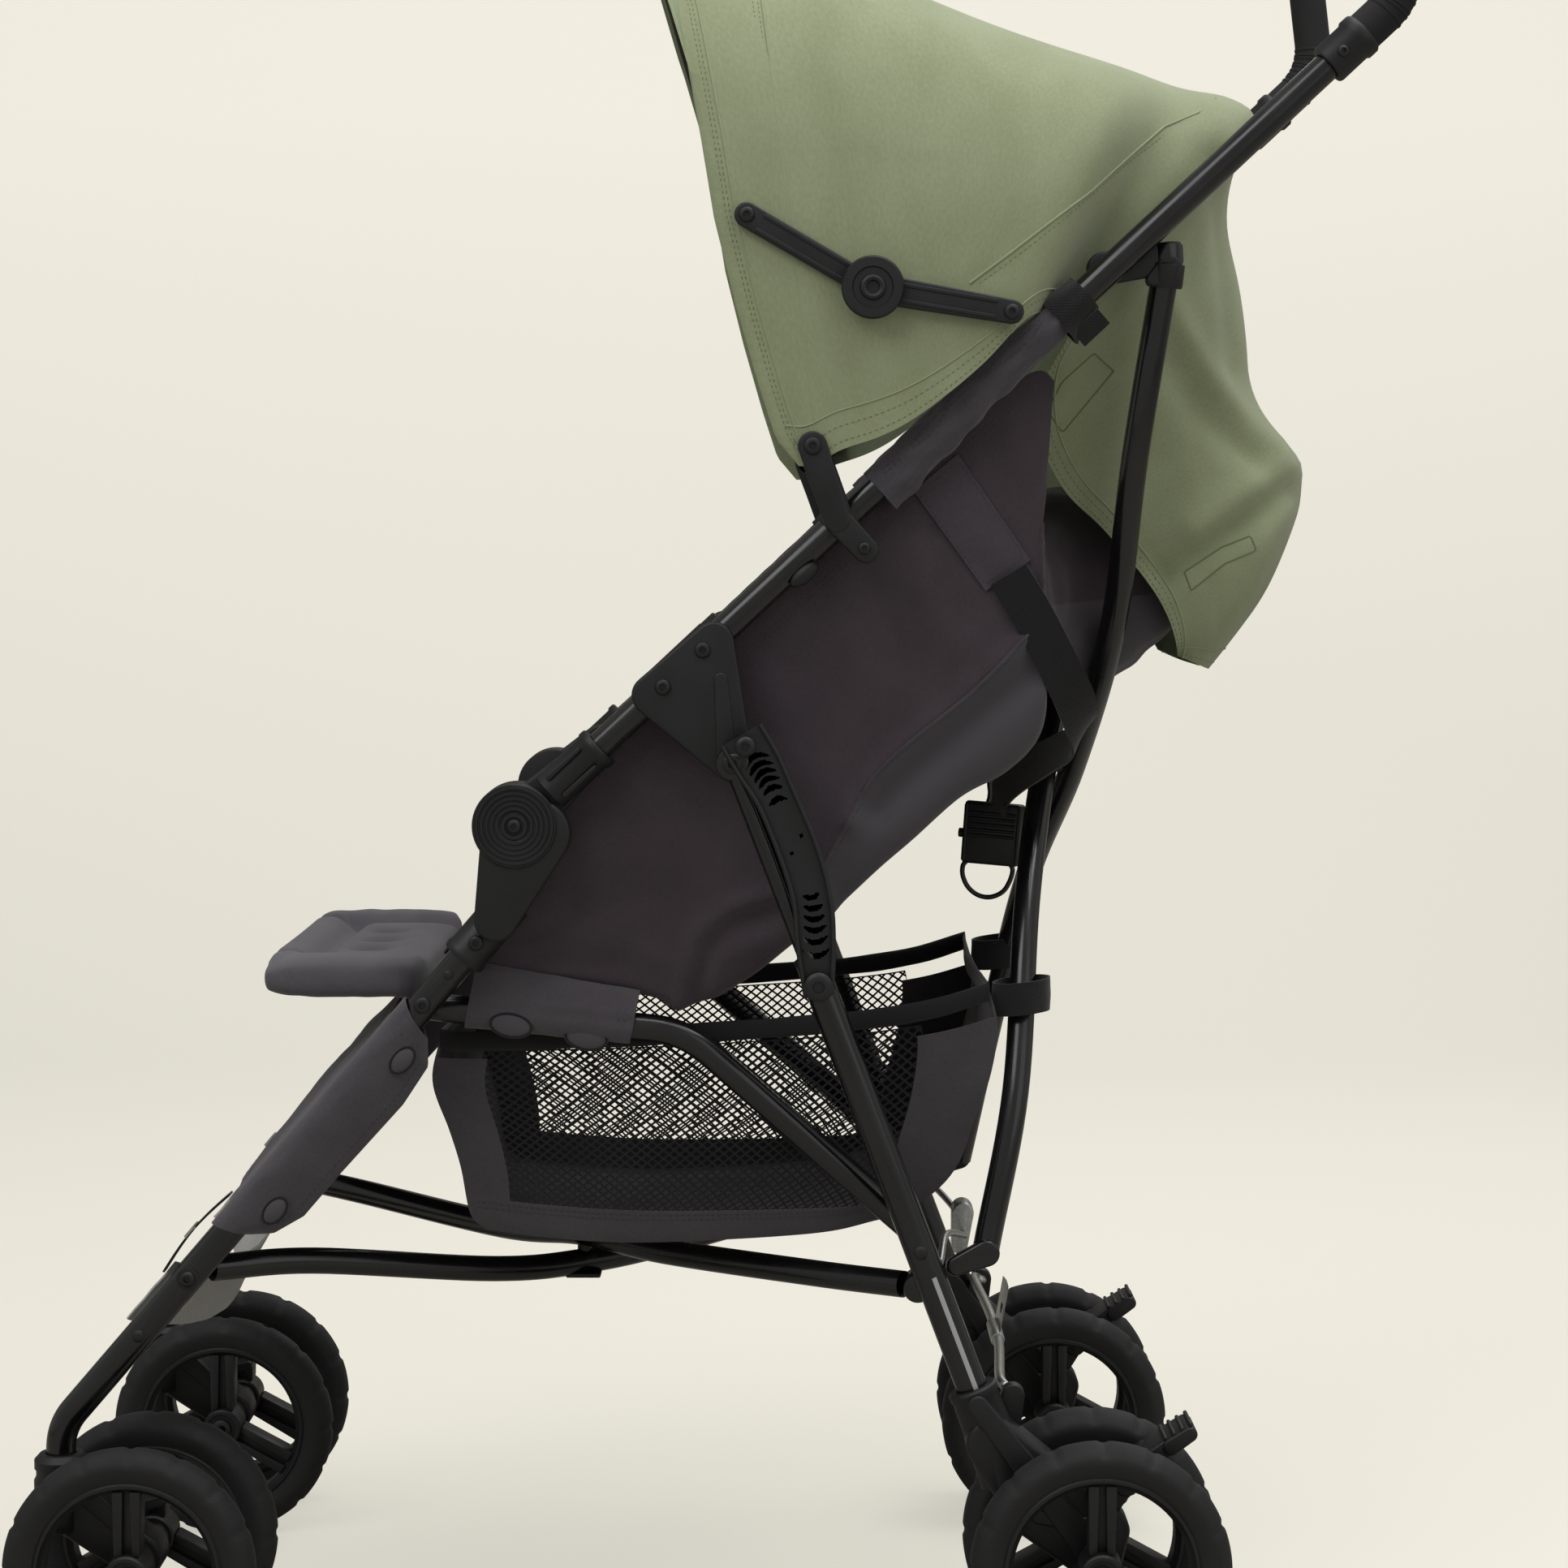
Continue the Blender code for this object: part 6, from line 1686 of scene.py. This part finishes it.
# Calf panel and leg cuffs
# A panel of the seat cloth between the front legs. Its ends are wrapped round the legs as cuffs, sewn
# down their rear edge and closed by press studs under oval covers.
def cuff_reach(distance):
    """How far the cuff stands out behind the leg."""
    marks = (
        (0.126, 0.014), (0.141, 0.0265), (0.17, 0.03), (0.23, 0.0285), (0.266, 0.0285), (0.287, 0.0215),
        (0.297, 0.0115),
    )
    for (a, low), (b, high) in zip(marks, marks[1:]):
        if distance <= b:
            return low + (high - low) * max(distance - a, 0.0) / (b - a)
    return marks[-1][1]


def add_stud_cover(spot, tilt, sign, length, width):
    """A cloth cover over a press stud, with a raised ring round its edge whose black colour is painted shade, the
    dark outline round the cover.
    """
    place = Matrix.Translation(spot) @ Matrix.Rotation(tilt, 4, "X")
    add_oval((0.003, length, width), place)
    around = [Vector((sign * 0.001, cos(pi * t / 18), sin(pi * t / 18))) for t in range(37)]
    # The ring is drawn in the black webbing finish: painted shade round the cover's edge
    add_ridge([place @ Vector((p.x, p.y * length, p.z * width)) for p in around], 0.0009, 2)


def calf_point(i, j):
    share, side_share = i / 59, 2 * j / 109 - 1
    distance = 0.142 + 0.152 * share
    bulge = (1 - side_share**2) * (0.0045 + 0.0035 * sin(pi * share))
    sway = 0.002 * ripple(side_share * 4, distance * 24, 9.0)
    sway += 0.0008 * ripple(side_share * 14, distance * 50, 2.0)
    edge = 1 - abs(side_share) ** 6
    return at(0.16 * side_share, *leg(distance, LEG_GAP - 0.0098 - bulge + sway * edge))


rows = facing(rows_of(60, 110, calf_point), 30, 50, Vector((0, -1, 0)))
add_cloth(rows, 0.0018)
for i in (2, 4, 55, 57):
    add_stitches(rows[i], 1)
calf = finish_piece("calf_panel", [seat_cloth, seat_thread], "front_legs", sharp=60, replaces=True)
(front_y, front_z), (back_y, back_z) = leg(0.0, 0.045), leg(0.0, 1.045)
at(0, front_y, front_z)
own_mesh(calf)
for side, sign, across, x in SIDES:
    def cuff_point(i, j):
        distance, turn = 0.1275 + 0.169 * i / 83, 2 * pi * j / 52
        front = cos(turn) < 0
        offset = 0.0112 * cos(turn) if front else cuff_reach(distance) * cos(turn) ** 0.85
        half = 0.0113 * sin(turn) * (1 if front else 1 - 0.62 * cos(turn) ** 1.5)
        sway = 0.0012 * ripple(sin(turn) * 1.5 + sign * 4, cos(turn) * 1.5, distance * 46)
        half += sway * (1 if sin(turn) > 0 else -1) * abs(sin(turn))
        distance += 0.01 * cos(turn) * (0.5 - i / 83)
        return at(sign * (PUSH_X + half), *leg(distance, LEG_GAP + offset))

    add_cloth([row[::sign] for row in rows_of(84, 52, cuff_point)], 0.001, closed=True)
    tree = BVHTree.FromBMesh(bench)
    edges = (
        [leg(0.145 + 0.012 * s, LEG_GAP + cuff_reach(0.145 + 0.012 * s) - 0.0058) for s in range(12)],
        [leg(0.291, LEG_GAP - 0.008 + 0.0045 * s) for s in range(5)],
        [leg(0.139, LEG_GAP - 0.008 + 0.006 * s) for s in range(5)],
    )
    for line in edges:
        add_stitches(on_cloth(tree, line, sign), 1)
    for distance, offset in ((0.1506, 0.0123), (0.2693, 0.013)):
        spot = tree.ray_cast(at(sign * 0.4, *leg(distance, LEG_GAP + offset)), -across)[0]
        add_stud_cover(spot, LEG_ANGLE, sign, 0.0092, 0.0058)
    cuff = finish_piece("leg_cuff." + side, [seat_cloth, seat_thread, webbing], "front_legs", sharp=60)

# Foot strap
# A pale grey band slung between the legs under the calf panel carries the feet. Its ends are fixed
# to the inner sides of the legs and two narrow straps with wire sliders hold it up.
pale_band = woven("pale_grey_band", "#A8A6A3", "#B3B1AE", 0.0014, 0.00018)


def foot_point(i, j):
    share, side_share = i / 23, 2 * j / 95 - 1
    slack_by = (1 - side_share**2) ** 0.8
    distance = 0.338 + 0.046 * share - 0.006 * slack_by
    offset = -0.0125 + 0.034 * slack_by + 0.01 * slack_by * share
    offset += 0.001 * ripple(side_share * 6, share * 3, 1.0)
    return at(0.1515 * side_share, *leg(distance, LEG_GAP + offset))


rows = facing(rows_of(24, 96, foot_point), 12, 48, Vector((0, -1, 0)))
add_cloth(rows, 0.0014)
for i in (2, 21):
    add_stitches(rows[i], 0)
foot_strap = finish_piece("foot_strap", pale_band, "front_legs", sharp=60)
for side, sign, across, x in SIDES:
    strip = []
    for i in range(22):
        distance = 0.284 + 0.062 * i / 21
        offset = LEG_GAP - 0.013 - 0.003 * sin(pi * i / 21)
        strip.append([at(sign * (0.147 + 0.011 * j / 5), *leg(distance, offset)) for j in range(6)])
    add_cloth(strip, 0.0013)
    finish_piece("foot_strap_hanger." + side, webbing, "front_legs")
    for distance in (0.313, 0.3165, 0.32):
        add_bar([at(sign * x, *leg(distance, LEG_GAP - 0.0172)) for x in (0.1455, 0.1525, 0.1595)], 0.0011, 4)
    for x in (0.1455, 0.1595):
        add_bar([at(sign * x, *leg(d, LEG_GAP - 0.0172)) for d in (0.313, 0.3165, 0.32)], 0.0011, 4)
    finish_piece("foot_strap_slider." + side, zinc, "front_legs")

# Basket
# A sagging bag under the seat: solid cloth for its front, floor and back, black net in its sides, and
# a padded binding round its rim. Loops of webbing tie its rear corners to the cross braces.
FLOOR_LINE = along_line(((-0.082, 0.262), (-0.04, 0.2565), (0.018, 0.254), (0.117, 0.2595), (0.16, 0.2685)))
RIM_LINE = along_line((
    (-0.108, 0.386), (-0.0983, 0.3845), (-0.02, 0.3865), (0.0581, 0.3905), (0.1411, 0.397), (0.1899, 0.4045),
    (0.224, 0.415),
))
FRONT_LINE = along_line((
    (-0.082, 0.262), (-0.092, 0.272), (-0.0975, 0.302), (-0.104, 0.325), (-0.114, 0.356), (-0.108, 0.386)
))
REAR_LINE = along_line((
    (0.16, 0.2685), (0.188, 0.283), (0.206, 0.303), (0.2165, 0.332), (0.226, 0.36), (0.23, 0.39),
    (0.224, 0.415),
))


def pick(line, share):
    """The point of a line at a share of its length."""
    place_at = share * (len(line) - 1)
    index = min(int(place_at), len(line) - 2)
    return line[index].lerp(line[index + 1], place_at - index)


def basket_side(sign, u, v, proud=0.0):
    """A point of the basket's side, from its front to its back by u and from its floor to its rim by v."""
    spot = pick(FLOOR_LINE, u) * (1 - v) + pick(RIM_LINE, u) * v
    spot += pick(FRONT_LINE, v) * (1 - u) + pick(REAR_LINE, v) * u
    spot -= FLOOR_LINE[0] * (1 - u) * (1 - v) + FLOOR_LINE[-1] * u * (1 - v) + RIM_LINE[0] * (1 - u) * v
    spot -= RIM_LINE[-1] * u * v
    half = 0.118 + 0.0135 * v**0.6 + proud
    half += 0.0016 * ripple(u * 7, v * 3, sign * 5) * sin(pi * v)
    return at(sign * half, spot.y, spot.z)


# Its cloth is the seat's, a little darker, and its net is knitted from black polyester thread
basket_cloth = woven("charcoal_basket_cloth", "#454146", "#4D494E", 0.001, 0.00012)
net_thread = woven("black_net_thread", "#161517", "#1F1E20", 0.0006, 0.00004, source="object")
WINDOW_U, WINDOW_V = (0.095, 0.855), (0.205, 0.885)


def side_strip(sign, u_low, u_high, v_low, v_high):
    """Rows over a part of the basket's side."""
    wide, high = max(int((u_high - u_low) * 80), 6), max(int((v_high - v_low) * 36), 4)
    rows = rows_of(high + 1, wide + 1, lambda i, j: basket_side(
        sign, u_low + (u_high - u_low) * j / wide, v_low + (v_high - v_low) * i / high
    ))
    return facing(rows, 1, 3, Vector((sign, 0, 0)))


path = [(0.0, 1 - i / 24) for i in range(24)] + [(i / 60, 0.0) for i in range(61)]
path += [(1.0, i / 26) for i in range(1, 27)]


def floor_point(i, j):
    u, v = path[i]
    near = basket_side(1, u, v)
    side_share = 1 - 2 * j / 60
    slack_by = 1 - side_share**2
    sway = 0.0016 * ripple(side_share * 4, near.y * 22, near.z * 22) * slack_by
    drop = Vector((0, 0.0, -0.0008)) if v == 0.0 else Vector((0, (0.004 if u == 0.0 else -0.004), 0))
    return Vector((near.x * side_share, near.y, near.z)) + drop * slack_by + Vector((0, sway, sway))


add_cloth(facing(rows_of(len(path), 61, floor_point), 50, 30, Vector((0, 0, -1))), 0.0012)
for sign in (1, -1):
    for strip in (
        (0.0, 1.0, 0.0, WINDOW_V[0]), (0.0, WINDOW_U[0], WINDOW_V[0], WINDOW_V[1]),
        (WINDOW_U[1], 1.0, WINDOW_V[0], WINDOW_V[1]),
    ):
        add_cloth(side_strip(sign, *strip), 0.001)
    for v in (0.185, 0.16):
        add_stitches([basket_side(sign, 0.02 + 0.96 * s / 60, v, 0.0002) for s in range(61)], 1)
basket = finish_piece("basket", [basket_cloth, seat_thread], "rear_legs", sharp=60, replaces=True)


def crumple_basket(piece):
    """Gives the piece a mesh of its own."""
    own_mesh(piece)


crumple_basket(basket)

rim_route = [basket_side(1, s / 40, 1.0) for s in range(41)]


def rim_end(corner, bow):
    """The rim between its two corners at one end, bowed along the basket."""
    shares = [s / 20 for s in range(1, 20)]
    return [Vector((corner.x * (1 - 2 * s), corner.y + bow * sin(pi * s), corner.z)) for s in shares]


loop = rim_route + rim_end(rim_route[-1], -0.004) + mirrored(rim_route)
loop += rim_end(Vector((-rim_route[0].x, *rim_route[0].yz)), 0.004)
middle = sum(loop, Vector()) / len(loop)


def rim_point(i, j):
    p, angle = loop[j], 2 * pi * i / 13
    out = Vector((p.x - middle.x, (p.y - middle.y) * 0.35, 0)).normalized()
    swell = 1 + 0.12 * noise.noise(p * 30)
    return p + out * 0.0024 * cos(angle) * swell + Vector((0, 0, 0.0062 * sin(angle) * swell - 0.004))


shape = bmesh.new()
grid = rows_of(13, len(loop), lambda i, j: shape.verts.new(rim_point(i, j)))
for i, row in enumerate(grid):
    above = grid[(i + 1) % len(grid)]
    for j in range(len(row)):
        k = (j + 1) % len(row)
        shape.faces.new((row[j], row[k], above[k], above[j]))
add_shape(shape)
rim = finish_piece("basket_rim", webbing, "rear_legs", sharp=60)
crumple_basket(rim)

for side, sign, across, x in SIDES:
    shape = bmesh.new()
    long_side, high_side, cell = 0.3, 0.13, 0.004
    bmesh.ops.create_grid(shape, x_segments=84, y_segments=84, size=0.5)
    lattice = Matrix.Rotation(pi / 4, 4, "Z")
    bmesh.ops.transform(shape, matrix=lattice @ Matrix.Scale(84 * cell, 4), verts=shape.verts)
    for vert in shape.verts:
        vert.co = Vector((vert.co.x * 1.12 + long_side / 2, vert.co.y * 0.86 + high_side / 2, 0))
    bounds = (
        ((WINDOW_U[0] - 0.01) * long_side, 0, (-1, 0)), ((WINDOW_U[1] + 0.01) * long_side, 0, (1, 0)),
        (0, (WINDOW_V[0] - 0.02) * high_side, (0, -1)), (0, (WINDOW_V[1] + 0.04) * high_side, (0, 1)),
    )
    for x, y, way in bounds:
        bmesh.ops.bisect_plane(
            shape, geom=shape.verts[:] + shape.edges[:] + shape.faces[:], dist=0.00001, plane_co=(x, y, 0),
            plane_no=(*way, 0), clear_outer=True,
        )
    cut = bmesh.ops.inset_individual(shape, faces=shape.faces[:], thickness=0.00042, use_even_offset=True)
    ring_faces = set(cut["faces"])
    bmesh.ops.delete(shape, geom=[face for face in shape.faces if face not in ring_faces], context="FACES")
    for vert in shape.verts:
        vert.co = basket_side(sign, vert.co.x / long_side, vert.co.y / high_side, -0.0006)
    bmesh.ops.solidify(shape, geom=shape.faces[:], thickness=0.0004)
    add_shape(shape)
    net = finish_piece("basket_net." + side, net_thread, "rear_legs", sharp=60)
    crumple_basket(net)

    def tie_point(i, j):
        z, turn = 0.396 + 0.02 * i / 13, 2 * pi * j / 40
        radius = 0.0165 + 0.0006 * ripple(cos(turn) * 2, sin(turn) * 2, z * 90)
        return at(sign * (0.111 + radius * cos(turn)), 0.2455 + radius * sin(turn), z + 0.002 * sin(turn))

    add_cloth([row[::-sign] for row in rows_of(14, 40, tie_point)], 0.0014, closed=True)
    tie = finish_piece("basket_tie." + side, webbing, "rear_brace", sharp=60)

# Seat tube flaps
# Flaps of the seat cloth are wrapped round both seat tubes from above and pressed shut below with two
# studs under half-round tabs, which holds the front of the sling down.
for side, sign, across, x in SIDES:
    tube_start, tube_knee = leg(0.1205, 0.0324), (0.04, 0.3885)
    rows = []
    for i in range(60):
        y = -0.0905 + 0.0995 * i / 59
        share = (y - tube_start[0]) / (tube_knee[0] - tube_start[0])
        z = tube_start[1] + (tube_knee[1] - tube_start[1]) * share
        lift = 0.431 + (0.414 - 0.431) * i / 59 - z
        section = [(0.1465, lift), (0.15, lift - 0.003), (0.1535, 0.0085)]
        section += [(0.1432 + 0.0106 * cos(radians(a)), 0.0106 * sin(radians(a))) for a in range(20, -121, -14)]
        row = []
        for x, rise in section:
            pucker = 0.0007 * ripple(x * 200, y * 60, rise * 120)
            row.append(at(sign * (x + pucker), y + 0.004 * (rise / 0.02), z + rise + pucker))
        rows.append(spaced(row, 26))
    add_cloth(facing(rows, 30, 8, across), 0.001)
    tree = BVHTree.FromBMesh(bench)
    for y_seam, tip in ((0.0045, 0.0035), (0.001, 0.0)):
        add_stitches(on_cloth(tree, ((y_seam, 0.404), (tip, 0.385)), sign), 1)
    for y, z in ((-0.064, 0.3935), (-0.019, 0.3855)):
        spot = tree.ray_cast(at(sign * 0.4, y, z), -across)[0] or at(sign * 0.153, y, z)
        add_stud_cover(spot, radians(-10), sign, 0.0125, 0.007)
    flap = finish_piece(
        "seat_tube_flap." + side, [seat_cloth, seat_thread, webbing], "seat_tubes", sharp=60
    )
